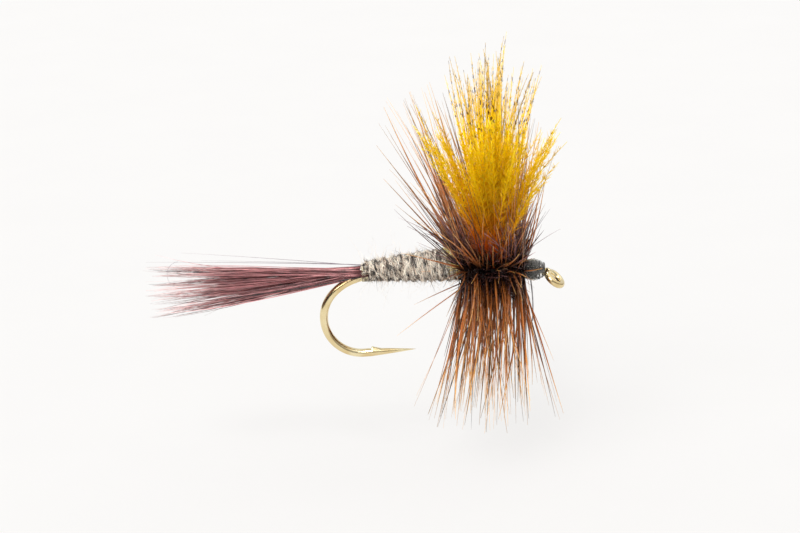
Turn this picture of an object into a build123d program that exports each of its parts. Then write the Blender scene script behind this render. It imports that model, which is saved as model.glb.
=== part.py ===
from build123d import *
import math
import os

# A size 12 up-winged dry fly, tied on a down-eye hook with a round bend.
# Millimetres. The origin is the centre of the hook's eye, +X runs from the tail
# towards the eye along the shank, and +Z points from the hook's point to its shank.

# ---- hook ------------------------------------------------------------------
WIRE_RADIUS = 0.26          # shank, bend and spear
EYE_WIRE_RADIUS = 0.21      # the wire is drawn thinner before the eye is formed
EYE_RING_RADIUS = 0.57      # to the middle of the eye's wire
EYE_BORE_RADIUS = 0.38      # the forming pin leaves a narrow round land in the eye
EYE_DROP = 40.0             # degrees that the eye turns down from the shank
EYE_TWIST = 12.0            # degrees that the ring is turned about the neck, towards -Y
EYE_OPENING = 30.0          # degrees of ring left open where the wire's end meets the neck
SHANK_HEIGHT = 0.634        # shank axis above the eye's centre
NECK_BEND_RADIUS = 0.6
TAPER_REAR = -1.7           # where the wire starts to thin towards the eye
TAPER_FRONT = -1.1
SHANK_REAR = -11.375        # where the shank ends and the bend starts
UPPER_BEND_RADIUS = 3.43
UPPER_BEND_ANGLE = 45.5
LOWER_BEND_RADIUS = 2.35
LOWER_BEND_ANGLE = 136.7
SPEAR_LENGTH = 0.5          # straight wire between the bend and the barb
POINT_LENGTH = 2.75
POINT_TIP_RADIUS = 0.012
BARB_RISE = 0.12            # above the wire's surface
BARB_LENGTH = 0.55
BARB_WIDTH = 0.14

# ---- thread and underbody --------------------------------------------------
BASE_RADIUS = 0.35          # outside of the thread that covers the bare wire
BASE_REAR = -11.7
BASE_FRONT = -1.84
THORAX_RADIUS = 0.50        # thread and quill ends built up between the body and the head
BUTT_GAP = 0.02             # between the trimmed ends and the thread under them
TAIL_BUTTS = (-11.45, -8.5)
TAIL_BUTTS_REAR_SIZE = (0.26, 0.17)     # half width and half height
TAIL_BUTTS_FRONT_SIZE = (0.20, 0.12)
WING_BUTTS = (-8.4, -6.1)
WING_BUTTS_REAR_SIZE = (0.16, 0.12)
WING_BUTTS_FRONT_SIZE = (0.50, 0.34)
QUILL_ANGLES = (-60.0, -120.0)          # round the shank from the top, towards -Y
QUILL_RADIUS = 0.055
QUILL_REACH = (-5.9, -4.3)  # the stripped ends of the hackle feathers, bound along the shank
PROP_WIDTH = 0.18           # thread jammed against the wings' feet, behind and in front
PROP_RADIUS = 0.62
PROP_TURNS = 2
THREAD_GROOVE = 0.03        # between neighbouring turns of thread

# ---- tail ------------------------------------------------------------------
TAIL_ROOT = -11.70
TAIL_TIP = -25.6
TAIL_WRAP_REAR = -12.05
TAIL_WRAP_HEIGHT = 0.20     # the wraps hold the tail on top of the wire, so they sit high
TAIL_WRAP_INNER = 0.47
TAIL_WRAP_OUTER = 0.56
TAIL_WRAP_TURNS = 4
FIBRES_PER_TAIL_CLUMP = 9
TAIL_ROW_RADIUS = 0.325     # from the shank's axis to the lowest row of roots
TAIL_ROW_RISE = 0.09
TAIL_ROW_ANGLE = 130.0      # degrees round the shank that one row of roots covers
TAIL_TIP_STAGGER = 0.9      # the longest fibre of a clump beyond its shortest
TAIL_CLUMP_WIDTH = 2.6
TAIL_FIBRE_ROOT_RADIUS = 0.045
TAIL_FIBRE_TIP_RADIUS = 0.012
# name, height of the clump's tips, how far they lie to the side, and their spread
TAIL_CLUMPS = (
    ("tail_fibres_lower", -1.0, 0.6, 1.3),
    ("tail_fibres_middle", 0.1, -0.7, 1.2),
    ("tail_fibres_upper", 1.1, 0.5, 1.1),
    ("tail_fibres_top", 2.1, -0.2, 0.8),
)

# ---- body ------------------------------------------------------------------
BODY_REAR = -11.66
BODY_FRONT = -6.05
BODY_AXIS_REAR_HEIGHT = 0.95
BODY_AXIS_FRONT_HEIGHT = 1.20
BODY_REAR_RADIUS = 0.57
BODY_FRONT_RADIUS = 1.04
BODY_SWELL = 0.05
BODY_TURNS = 11
BODY_RIDGE = 0.06           # depth of the groove between turns of dubbing

# ---- hackle ----------------------------------------------------------------
HACKLE_REACH = 10.4         # from the shank's axis to the barb tips
LONG_BARB_REACH = 12.0      # the barbs that lean back above the shank are the longer ones
BARB_ROOT_RADIUS = 0.05
BARB_TIP_RADIUS = 0.012
STEM_DIAMETER = 0.20
STEM_TURNS = 4
STEM_GROOVE = 0.06
BARBS_PER_HACKLE = 54
GOLDEN_ANGLE = 137.508      # spreads successive barbs evenly round the shank
REAR_HACKLE = (-5.80, -4.62)
FRONT_HACKLE = (-3.08, -1.88)
REAR_HACKLE_LEAN = (-24.0, -7.0)        # degrees along the shank, from its rear turn to its front one
FRONT_HACKLE_LEAN = (-8.0, 7.0)
REAR_FIRST_BARB = 0.0                   # degrees round the shank from the top
FRONT_FIRST_BARB = 60.0
LEAN_GAIN_ABOVE = 0.3                   # barbs above the shank lean more by this share
BARB_LENGTH_STEP = 0.05

# ---- wings -----------------------------------------------------------------
WING_ROOT = -3.85
WING_ROOT_RISE = 0.55       # above the shank's axis
WING_ROOT_SIDE = 0.40
WING_ROOT_HALF_LENGTH = 0.42
WING_SPREAD = 34.0          # degrees that each wing leans from the vertical
WING_FAN = 16.0             # degrees to each side of the wing's own centreline
WING_LENGTH = 14.8
WING_LAYER_LEAN = 4.0       # degrees between the layers of fibres
WING_LAYER_GAP = 0.10
FIBRES_PER_WING = 27
WING_FIBRE_ROOT_RADIUS = 0.055
WING_FIBRE_TIP_RADIUS = 0.014
POST_WRAP_RISE = 0.22       # where the thread round a wing's foot starts, along the wing
POST_WRAP_LENGTH = 0.36
POST_WRAP_HALF_SIZE = (0.60, 0.33)
POST_WRAP_THICKNESS = 0.09

# ---- head ------------------------------------------------------------------
HEAD_REAR = -1.84
HEAD_SPLIT = -1.04          # thread wraps behind, whip finish in front
HEAD_FRONT = -0.60
HEAD_REAR_RADIUS = 0.50
HEAD_FRONT_RADIUS = 0.36
HEAD_SWELL = 0.20
CEMENT_THICKNESS = 0.03
TAG_START = (-1.46, -0.02)  # where the trimmed thread's end leaves the head, as X and Z
TAG_LENGTH = 2.75
TAG_LEAN = -0.02            # the end hangs almost straight down
THREAD_RADIUS = 0.03


def at(x, height=0.0, y=0.0):
    """A point at x along the shank and at a height above the shank's axis."""
    return Vector(x, y, SHANK_HEIGHT + height)


def rod(start, direction, length, start_radius, end_radius, sides=6):
    """A straight tapering fibre with flat sides: a loft between two small polygons."""
    way = Vector(*direction).normalized()
    root = Plane(origin=start, z_dir=way)
    tip = Plane(origin=start + way * length, x_dir=root.x_dir, z_dir=way)
    outlines = [
        plane * Wire.make_polygon(
            [
                (radius * math.cos(turn), radius * math.sin(turn), 0)
                for turn in (2 * math.pi * side / sides for side in range(sides))
            ]
        )
        for plane, radius in ((root, start_radius), (tip, end_radius))
    ]
    return Solid.make_loft(outlines, ruled=True)


def plain_sleeve(rear, front, inner_radius, outer_radius):
    """A smooth sleeve round the shank."""
    plane = Plane(origin=at(rear), z_dir=(1, 0, 0))
    outside = plane * Solid.make_cylinder(outer_radius, front - rear)
    return outside - plane * Solid.make_cylinder(inner_radius, front - rear)


def wound_sleeve(rear, front, inner_radius, outer_radius, turns, groove, height=0.0):
    """A sleeve round the shank whose outside has one rounded ridge for each turn wound on it."""
    pitch = (front - rear) / turns
    with BuildSketch(Plane.XZ) as section:
        with BuildLine():
            edge = [(rear, outer_radius - groove)]
            for turn in range(turns):
                start = (rear + turn * pitch, outer_radius - groove)
                crest = (rear + (turn + 0.5) * pitch, outer_radius)
                end = (rear + (turn + 1) * pitch, outer_radius - groove)
                ThreePointArc(start, crest, end)
                edge.append(end)
            Polyline(edge[-1], (front, inner_radius), (rear, inner_radius), edge[0])
        make_face()
    sleeve = revolve(section.sketch, axis=Axis.X, revolution_arc=360)
    return Pos(0, 0, SHANK_HEIGHT + height) * sleeve


def write(name, *pieces):
    """Write one sub-part, made of one or more separate solids, as a STEP file."""
    solids = [solid for piece in pieces for solid in piece.solids()]
    export_step(Compound(children=solids, label=name), f"parts/{name}.step")


# ---- hook ------------------------------------------------------------------
def make_eye():
    """The eye: an almost closed ring of wire with a narrow cylindrical land inside."""
    drop = math.radians(EYE_DROP)
    twist = math.radians(EYE_TWIST)
    ring_plane = Plane(
        origin=(0, 0, 0),
        x_dir=(-math.cos(drop), 0, math.sin(drop)),
        z_dir=(math.sin(drop) * math.cos(twist), -math.sin(twist), math.cos(drop) * math.cos(twist)),
    )
    turned = ring_plane * Pos(EYE_RING_RADIUS, 0, 0) * Rot(90, 0, 0) * Circle(EYE_WIRE_RADIUS)
    ring = revolve(turned, axis=Axis((0, 0, 0), ring_plane.z_dir), revolution_arc=360 - EYE_OPENING)
    land = ring_plane * Cylinder(EYE_BORE_RADIUS, 4 * EYE_WIRE_RADIUS)
    return ring - land


def make_wire():
    """The neck, shank, bend and spear, swept along one tangent-continuous centreline."""
    drop = math.radians(EYE_DROP)
    back = (-math.cos(drop), math.sin(drop))
    ring_back = (EYE_RING_RADIUS * back[0], EYE_RING_RADIUS * back[1])
    corner_distance = SHANK_HEIGHT / math.sin(drop)
    run_up = corner_distance - EYE_RING_RADIUS - NECK_BEND_RADIUS * math.tan(drop / 2)
    with BuildLine(Plane.XZ) as neck:
        straight = Line(ring_back, (ring_back[0] + run_up * back[0], ring_back[1] + run_up * back[1]))
        bend = JernArc(straight @ 1, straight % 1, NECK_BEND_RADIUS, EYE_DROP)
        Line(bend @ 1, (TAPER_FRONT, SHANK_HEIGHT))
    with BuildLine(Plane.XZ) as body:
        shank = Line((TAPER_REAR, SHANK_HEIGHT), (SHANK_REAR, SHANK_HEIGHT))
        upper = JernArc(shank @ 1, shank % 1, UPPER_BEND_RADIUS, UPPER_BEND_ANGLE)
        lower = JernArc(upper @ 1, upper % 1, LOWER_BEND_RADIUS, LOWER_BEND_ANGLE)
        PolarLine(lower @ 1, SPEAR_LENGTH, direction=lower % 1)
    pieces = []
    for line, radius in ((neck.line, EYE_WIRE_RADIUS), (body.line, WIRE_RADIUS)):
        section = Plane(origin=line @ 0, z_dir=line % 0) * Circle(radius)
        pieces.append(sweep(section, path=line))
    taper = Plane(origin=at(TAPER_REAR), z_dir=(1, 0, 0)) * Solid.make_cone(
        WIRE_RADIUS, EYE_WIRE_RADIUS, TAPER_FRONT - TAPER_REAR
    )
    return pieces[0] + taper + pieces[1], body.line @ 1, body.line % 1


def make_point(start, way):
    """The needle point and the small barb cut up from the spear."""
    point = Plane(origin=start, z_dir=way) * Solid.make_cone(WIRE_RADIUS, POINT_TIP_RADIUS, POINT_LENGTH)
    slope = math.degrees(math.atan2(way.Z, way.X))
    with BuildSketch(Plane.XZ) as outline:
        with BuildLine():
            Polyline(
                (0, WIRE_RADIUS + BARB_RISE),
                (BARB_LENGTH, 0.5 * WIRE_RADIUS),
                (0.25 * BARB_LENGTH, 0.5 * WIRE_RADIUS),
                close=True,
            )
        make_face()
    barb = extrude(outline.sketch, BARB_WIDTH / 2, both=True)
    return point + Pos(start.X, start.Y, start.Z) * Rot(0, -slope, 0) * barb


def make_hook():
    """The whole hook as one formed piece of wire."""
    wire, spear_end, spear_way = make_wire()
    return make_eye() + wire + make_point(spear_end, spear_way)


# ---- thread, butts and body ------------------------------------------------
def make_butts(rear, front, rear_size, front_size):
    """The trimmed ends of tied-in fibres: a tapering oval bundle on top of the thread."""
    ovals = []
    for x, (half_width, half_height) in ((rear, rear_size), (front, front_size)):
        centre = at(x, BASE_RADIUS + BUTT_GAP + half_height)
        plane = Plane(origin=centre, x_dir=(0, 1, 0), z_dir=(1, 0, 0))
        ovals.append(plane * Ellipse(half_width, half_height))
    return loft(ovals)


def make_quill_ends():
    """The stripped ends of the two hackle feathers, bound along the underside of the shank."""
    rear, front = QUILL_REACH
    distance = BASE_RADIUS + BUTT_GAP + QUILL_RADIUS
    ends = []
    for angle in QUILL_ANGLES:
        turn = math.radians(angle)
        start = at(rear, distance * math.sin(turn), distance * math.cos(turn))
        ends.append(Plane(origin=start, z_dir=(1, 0, 0)) * Solid.make_cylinder(QUILL_RADIUS, front - rear))
    return ends


def body_groove_radius(share):
    """Radius of the body at its grooves, fuller in the middle than a straight cone."""
    cone = BODY_REAR_RADIUS + (BODY_FRONT_RADIUS - BODY_REAR_RADIUS) * share
    return cone + BODY_SWELL * math.sin(math.pi * share) - BODY_RIDGE


def make_body(core):
    """The dubbed abdomen: turns of fur in a taper, thicker towards the wings, over the core."""
    run = BODY_FRONT - BODY_REAR
    rise = BODY_AXIS_FRONT_HEIGHT - BODY_AXIS_REAR_HEIGHT
    length = math.hypot(run, rise)
    with BuildSketch(Plane.XZ) as section:
        with BuildLine():
            for turn in range(BODY_TURNS):
                near, middle, far = (turn / BODY_TURNS, (turn + 0.5) / BODY_TURNS, (turn + 1) / BODY_TURNS)
                start = (near * length, body_groove_radius(near))
                crest = (middle * length, body_groove_radius(middle) + BODY_RIDGE)
                end = (far * length, body_groove_radius(far))
                ThreePointArc(start, crest, end)
            Polyline(end, (length, 0), (0, 0), (0, body_groove_radius(0)))
        make_face()
    turned = revolve(section.sketch, axis=Axis.X, revolution_arc=360)
    tilt = math.degrees(math.atan2(rise, run))
    body = Pos(BODY_REAR, 0, BODY_AXIS_REAR_HEIGHT) * Rot(0, -tilt, 0) * turned
    for inner in core:
        body = body - inner
    return body


# ---- tail ------------------------------------------------------------------
def make_tail_clump(row, tip_height, tip_side, spread):
    """One clump of tail fibres: a row of roots over the wire, running back to a fan of tips."""
    fibres = []
    radius = TAIL_ROW_RADIUS + TAIL_ROW_RISE * row
    last = FIBRES_PER_TAIL_CLUMP - 1
    for index in range(FIBRES_PER_TAIL_CLUMP):
        share = index / last - 0.5
        turn = math.radians(90 - TAIL_ROW_ANGLE * share)
        root = at(TAIL_ROOT, radius * math.sin(turn), radius * math.cos(turn))
        tip = Vector(
            TAIL_TIP + TAIL_TIP_STAGGER * (index * 3 % 4) / 3,
            tip_side + TAIL_CLUMP_WIDTH * share,
            tip_height + spread * (0.5 - (index * 5 % FIBRES_PER_TAIL_CLUMP) / last),
        )
        way = tip - root
        fibres.append(rod(root, way, way.length, TAIL_FIBRE_ROOT_RADIUS, TAIL_FIBRE_TIP_RADIUS))
    return fibres


# ---- hackle ----------------------------------------------------------------
def make_stem(span):
    """The feather's quill, wound round the thorax in touching turns."""
    outside = THORAX_RADIUS + STEM_DIAMETER
    return wound_sleeve(*span, THORAX_RADIUS, outside, STEM_TURNS, STEM_GROOVE)


def make_barbs(span, leans, first_angle):
    """The barbs of one wound feather, each standing out from the quill at its own lean."""
    barbs = []
    rear_lean, front_lean = leans
    distance = THORAX_RADIUS + STEM_DIAMETER - 0.5 * STEM_GROOVE
    for index in range(BARBS_PER_HACKLE):
        share = (index + 0.5) / BARBS_PER_HACKLE
        around = math.radians(first_angle + index * GOLDEN_ANGLE)
        up = math.cos(around)
        lean = math.radians(rear_lean + (front_lean - rear_lean) * share) * (1.0 + LEAN_GAIN_ABOVE * up)
        out = Vector(0, math.sin(around), up)
        way = out * math.cos(lean) + Vector(math.sin(lean), 0, 0)
        backward = max(0.0, -math.sin(lean)) / 0.5
        reach = HACKLE_REACH + (LONG_BARB_REACH - HACKLE_REACH) * max(0.0, up) * backward
        length = (reach - distance) * (1.0 - BARB_LENGTH_STEP * (index % 3))
        start = at(span[0] + (span[1] - span[0]) * share) + out * distance
        barbs.append(rod(start, way, length, BARB_ROOT_RADIUS, BARB_TIP_RADIUS))
    return barbs


# ---- wings -----------------------------------------------------------------
def wing_way(side, fan, extra_lean=0.0):
    """The direction of a wing fibre: leant to one side, then fanned along the shank."""
    lean = math.radians(WING_SPREAD + extra_lean)
    spread = math.radians(fan)
    across = math.cos(spread)
    return Vector(math.sin(spread), side * math.sin(lean) * across, math.cos(lean) * across)


def make_wing(side):
    """One wing: half of the divided bunch of flank feather fibres, in three thin layers."""
    fibres = []
    for index in range(FIBRES_PER_WING):
        share = 2 * (index + 0.5) / FIBRES_PER_WING - 1
        layer = index % 3 - 1
        root = at(
            WING_ROOT + WING_ROOT_HALF_LENGTH * share,
            WING_ROOT_RISE,
            side * (WING_ROOT_SIDE + WING_LAYER_GAP * layer),
        )
        way = wing_way(side, WING_FAN * share, WING_LAYER_LEAN * layer)
        length = WING_LENGTH * (1.0 - 0.14 * share * share - 0.04 * (index * 7 % 4))
        fibres.append(rod(root, way, length, WING_FIBRE_ROOT_RADIUS, WING_FIBRE_TIP_RADIUS))
    return fibres


def make_post_wraps(side):
    """The thread round the foot of one wing, which gathers its fibres and stands it up."""
    way = wing_way(side, 0.0)
    foot = at(WING_ROOT, WING_ROOT_RISE, side * WING_ROOT_SIDE) + way * POST_WRAP_RISE
    plane = Plane(origin=foot, x_dir=(1, 0, 0), z_dir=way)
    half_length, half_width = POST_WRAP_HALF_SIZE
    outer = Ellipse(half_length, half_width)
    inner = Ellipse(half_length - POST_WRAP_THICKNESS, half_width - POST_WRAP_THICKNESS)
    return extrude(plane * (outer - inner), POST_WRAP_LENGTH)


# ---- head ------------------------------------------------------------------
def head_outline(rear, front, extra, steps=6):
    """Points along the head's taper between two places, from rear to front."""
    points = []
    for step in range(steps + 1):
        x = rear + (front - rear) * step / steps
        share = (x - HEAD_REAR) / (HEAD_FRONT - HEAD_REAR)
        cone = HEAD_REAR_RADIUS + (HEAD_FRONT_RADIUS - HEAD_REAR_RADIUS) * share
        points.append((x, cone + HEAD_SWELL * math.sin(math.pi * share) + extra))
    return points


def make_head_turns(rear, front, hook):
    """Thread wound over the wire to the head's taper, between two places."""
    outline = head_outline(rear, front, 0.0)
    with BuildSketch(Plane.XZ) as section:
        with BuildLine():
            Spline(outline)
            Polyline(outline[-1], (front, 0), (rear, 0), outline[0])
        make_face()
    return Pos(0, 0, SHANK_HEIGHT) * revolve(section.sketch, axis=Axis.X, revolution_arc=360) - hook


def make_cement():
    """The skin of clear varnish over the whole head."""
    inner = head_outline(HEAD_REAR, HEAD_FRONT, 0.0)
    outer = head_outline(HEAD_REAR, HEAD_FRONT, CEMENT_THICKNESS)
    with BuildSketch(Plane.XZ) as section:
        with BuildLine():
            Spline(outer)
            Line(outer[-1], inner[-1])
            Spline(inner[::-1])
            Line(inner[0], outer[0])
        make_face()
    return Pos(0, 0, SHANK_HEIGHT) * revolve(section.sketch, axis=Axis.X, revolution_arc=360)


# ---- the whole fly ---------------------------------------------------------
def write_underbody(hook):
    """Write what lies against the wire, and return the pieces that the body is wound over."""
    write("hook", hook)
    write("thread_base", plain_sleeve(BASE_REAR, BASE_FRONT, WIRE_RADIUS, BASE_RADIUS) - hook)
    tail_butts = make_butts(*TAIL_BUTTS, TAIL_BUTTS_REAR_SIZE, TAIL_BUTTS_FRONT_SIZE)
    wing_butts = make_butts(*WING_BUTTS, WING_BUTTS_REAR_SIZE, WING_BUTTS_FRONT_SIZE)
    write("tail_butts", tail_butts)
    write("wing_butts", wing_butts)
    tube = Plane(origin=at(BASE_REAR), z_dir=(1, 0, 0))
    return [tube * Solid.make_cylinder(BASE_RADIUS, BASE_FRONT - BASE_REAR), tail_butts, wing_butts]


def write_tail(hook):
    """Write the tail's clumps and the thread that binds them."""
    for row, (name, height, side, spread) in enumerate(TAIL_CLUMPS):
        write(name, *make_tail_clump(row, height, side, spread))
    wraps = wound_sleeve(
        TAIL_WRAP_REAR,
        BASE_REAR,
        TAIL_WRAP_INNER,
        TAIL_WRAP_OUTER,
        TAIL_WRAP_TURNS,
        THREAD_GROOVE,
        TAIL_WRAP_HEIGHT,
    )
    write("tail_tying_wraps", wraps - hook)


def write_thorax():
    """Write the built-up thread under the hackles, the quill ends in it and the wings' props."""
    ends = make_quill_ends()
    thorax = plain_sleeve(BODY_FRONT, BASE_FRONT, BASE_RADIUS, THORAX_RADIUS)
    for end in ends:
        thorax = thorax - end
    write("hackle_quill_ends", *ends)
    write("thorax_thread", thorax)
    behind = (REAR_HACKLE[1], REAR_HACKLE[1] + PROP_WIDTH)
    front = (FRONT_HACKLE[0] - PROP_WIDTH, FRONT_HACKLE[0])
    props = []
    for span in (behind, front):
        props.append(wound_sleeve(*span, THORAX_RADIUS, PROP_RADIUS, PROP_TURNS, THREAD_GROOVE))
    write("wing_prop_wraps", *props)


def main():
    """Build every sub-part and write it."""
    os.makedirs("parts", exist_ok=True)
    hook = make_hook()
    core = write_underbody(hook)
    write("dubbed_body", make_body(core))
    write_tail(hook)
    write_thorax()
    for name, side in (("near", -1), ("far", 1)):
        write(f"{name}_wing", *make_wing(side))
        write(f"{name}_wing_post_wraps", make_post_wraps(side))
    write("rear_hackle_stem", make_stem(REAR_HACKLE))
    write("rear_hackle_barbs", *make_barbs(REAR_HACKLE, REAR_HACKLE_LEAN, REAR_FIRST_BARB))
    write("front_hackle_stem", make_stem(FRONT_HACKLE))
    write("front_hackle_barbs", *make_barbs(FRONT_HACKLE, FRONT_HACKLE_LEAN, FRONT_FIRST_BARB))
    write("head_thread_wraps", make_head_turns(HEAD_REAR, HEAD_SPLIT, hook))
    write("whip_finish", make_head_turns(HEAD_SPLIT, HEAD_FRONT, hook))
    write("head_cement", make_cement())
    tag = Vector(TAG_START[0], 0, TAG_START[1])
    write("thread_tag", rod(tag, (TAG_LEAN, 0, -1), TAG_LENGTH, THREAD_RADIUS, THREAD_RADIUS))


main()
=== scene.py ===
"""Looks for a divided-wing dry fly: gold hook, mauve tail, fur body, yellow wings and brown hackle.

Lengths are in millimetres in the classes below and become metres when a mesh is made.
"""

import logging
import math
from dataclasses import dataclass, field
from enum import Enum
from typing import Iterable, Optional, Sequence, Union

import bpy
import numpy as np
from mathutils import Matrix, Vector
from numpy.typing import NDArray


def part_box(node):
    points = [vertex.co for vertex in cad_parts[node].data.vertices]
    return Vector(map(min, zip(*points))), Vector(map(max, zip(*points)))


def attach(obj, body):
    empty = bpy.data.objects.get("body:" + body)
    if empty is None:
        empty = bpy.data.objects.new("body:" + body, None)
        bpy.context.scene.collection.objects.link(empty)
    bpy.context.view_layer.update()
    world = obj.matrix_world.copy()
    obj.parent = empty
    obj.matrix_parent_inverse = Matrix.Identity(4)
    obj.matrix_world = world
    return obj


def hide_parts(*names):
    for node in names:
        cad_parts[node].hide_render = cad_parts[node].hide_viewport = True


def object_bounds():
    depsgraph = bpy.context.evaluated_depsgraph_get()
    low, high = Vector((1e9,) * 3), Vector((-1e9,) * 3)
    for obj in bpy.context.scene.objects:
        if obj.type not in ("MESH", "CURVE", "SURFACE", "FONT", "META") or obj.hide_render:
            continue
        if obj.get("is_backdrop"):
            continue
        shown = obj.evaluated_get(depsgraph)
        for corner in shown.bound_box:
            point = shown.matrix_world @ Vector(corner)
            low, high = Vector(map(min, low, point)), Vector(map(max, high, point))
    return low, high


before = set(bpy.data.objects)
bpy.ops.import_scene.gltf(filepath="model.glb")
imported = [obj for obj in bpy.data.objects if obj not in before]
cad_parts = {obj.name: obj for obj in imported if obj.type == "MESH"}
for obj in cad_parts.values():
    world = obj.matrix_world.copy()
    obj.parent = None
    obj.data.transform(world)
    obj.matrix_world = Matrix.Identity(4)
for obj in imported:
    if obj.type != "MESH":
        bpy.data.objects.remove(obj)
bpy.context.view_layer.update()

Array = NDArray[np.float64]
Colour = tuple[float, float, float, float]
Value = Union[float, int, Colour, tuple[float, float, float], bpy.types.NodeSocket]
Inputs = dict[Union[str, int], Value]
LOG = logging.getLogger("dry_fly")
MM = 0.001
FLOOR_GAP = 2.5
FLOOR_HALF = 1500.0
BINDING_HALF = 0.045
MIX_COLOUR_INPUTS = (0, 6, 7)
MIX_COLOUR_OUTPUT = 2
X_AXIS = np.array([1.0, 0.0, 0.0])
Y_AXIS = np.array([0.0, 1.0, 0.0])
Z_AXIS = np.array([0.0, 0.0, 1.0])


class Slot(Enum):
    """Names of the material slots."""

    HOOK = "hook_wire"
    THREAD = "thread"
    TAIL = "tail_feather"
    FUR = "fur_dubbing"
    WING = "wing_feather"
    HACKLE = "hackle_feather"
    QUILL = "quill"
    VARNISH = "head_varnish"


class Side(Enum):
    """Which side of the hook's plane a wing leans to."""

    NEAR = -1
    FAR = 1


# ---- numbers and shapes ----------------------------------------------------
def tint(red: int, green: int, blue: int) -> Colour:
    """Turn a display colour, 0 to 255 in each channel, into the linear colour that shaders use.

    Args:
        red: Red of the display colour.
        green: Its green.
        blue: Its blue.

    Returns:
        Red, green, blue and an alpha of 1.
    """
    display = np.array([red, green, blue]) / 255.0
    linear = np.where(display <= 0.04045, display / 12.92, ((display + 0.055) / 1.055) ** 2.4)
    return (float(linear[0]), float(linear[1]), float(linear[2]), 1.0)


def unit(vectors: Array) -> Array:
    """Scale each vector to length 1."""
    length = np.linalg.norm(vectors, axis=-1, keepdims=True)
    return vectors / np.maximum(length, 1e-12)


def smooth(low: float, high: float, value: Array) -> Array:
    """Smoothstep: 0 below low, 1 above high, and 3t^2 - 2t^3 between them."""
    t = np.clip((value - low) / (high - low), 0.0, 1.0)
    return t * t * (3.0 - 2.0 * t)


def box_mm(node: str) -> tuple[Array, Array]:
    """Give a CAD node's lowest and highest corners in millimetres."""
    low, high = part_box(node)
    return np.array(low) / MM, np.array(high) / MM


def sway(points: Array, wavelength: float, seed: int) -> Array:
    """A smooth random field between about -1 and 1.

    It is the mean of twelve sine waves, each in its own random direction and phase.

    Args:
        points: Places of shape (..., 3).
        wavelength: Distance over which the field changes sign and back.
        seed: Picks the waves.

    Returns:
        One value for each place.
    """
    rng = np.random.default_rng(seed)
    ways = unit(rng.normal(size=(12, 3))) * (2 * np.pi / wavelength) * rng.uniform(0.6, 1.6, (12, 1))
    phases = rng.uniform(0, 2 * np.pi, 12)
    return np.sin(points @ ways.T + phases).mean(axis=-1) * 2.4


def distances(line: Array) -> Array:
    """Give each point's distance from the start of a line, measured along it."""
    return np.concatenate([[0.0], np.cumsum(np.linalg.norm(np.diff(line, axis=0), axis=1))])


def shares(steps: int) -> Array:
    """Give even shares of the way from root to tip, shaped (1, steps, 1)."""
    return np.linspace(0, 1, steps)[None, :, None]


def outward(around: Array) -> Array:
    """Give unit vectors square to the shank: up at angle 0, to the far side a quarter turn on."""
    return np.stack([np.zeros_like(around), np.sin(around), np.cos(around)], axis=-1)


def leaning(around: Array, lean: Array) -> Array:
    """Give unit vectors that lean from outward towards the eye by an angle."""
    return outward(around) * np.cos(lean)[:, None] + X_AXIS * np.sin(lean)[:, None]


def grow(root: Array, length: Array, way: Array, t: Array, bend: Array) -> Array:
    """Give the centre lines root + length (t way + bend)."""
    return root[:, None, :] + length[:, None, None] * (way[:, None, :] * t + bend)


# ---- meshes ----------------------------------------------------------------
@dataclass
class Skin:
    """Faces of one corner count, with the two UV places of each corner."""

    corners: NDArray[np.int64]
    fibre_uv: Array
    lot_uv: Array


def new_object(name: str, points: Array, skins: Sequence[Skin]) -> bpy.types.Object:
    """Put whole arrays of points and faces into a new smooth mesh object at the origin.

    Args:
        name: The piece's name.
        points: Vertices of shape (n, 3) in millimetres.
        skins: The faces, grouped by how many corners they have.

    Returns:
        The object, linked to the scene.
    """
    mesh = bpy.data.meshes.new(name)
    sizes = np.concatenate([np.full(len(s.corners), s.corners.shape[1]) for s in skins])
    loops = np.concatenate([s.corners.ravel() for s in skins])
    mesh.vertices.add(len(points))
    mesh.vertices.foreach_set("co", (points * MM).astype(np.float32).ravel())
    mesh.loops.add(len(loops))
    mesh.loops.foreach_set("vertex_index", loops.astype(np.int32))
    mesh.polygons.add(len(sizes))
    mesh.polygons.foreach_set("loop_start", (np.cumsum(sizes) - sizes).astype(np.int32))
    mesh.update(calc_edges=True)
    mesh.polygons.foreach_set("use_smooth", np.ones(len(sizes), dtype=bool))
    for layer, values in (("fibre", [s.fibre_uv for s in skins]), ("lot", [s.lot_uv for s in skins])):
        uv = mesh.uv_layers.new(name=layer)
        flat = np.concatenate([v.reshape(-1, 2) for v in values]).astype(np.float32)
        uv.data.foreach_set("uv", flat.ravel())
    mesh.validate()
    obj = bpy.data.objects.new(name, mesh)
    bpy.context.scene.collection.objects.link(obj)
    return obj


def walls_between(index: NDArray[np.int64]) -> NDArray[np.int64]:
    """Give the four corners of each wall between neighbouring rings of numbered points."""
    near, far = index[..., :-1, :], index[..., 1:, :]
    return np.stack([near, np.roll(near, -1, -1), np.roll(far, -1, -1), far], axis=-1)


def wall_uv(along: Array, sides: int) -> tuple[Array, Array]:
    """Give how far along, and how far round, each corner of each wall lies.

    Args:
        along: Each ring's place.
        sides: Corners in each ring.

    Returns:
        Both values, ready to be broadcast to the walls' shape.
    """
    u = np.stack([along[..., :-1], along[..., :-1], along[..., 1:], along[..., 1:]], axis=-1)
    edge = np.arange(sides) / sides
    return u[..., None, :], np.stack([edge, edge + 1 / sides, edge + 1 / sides, edge], axis=-1)


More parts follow.
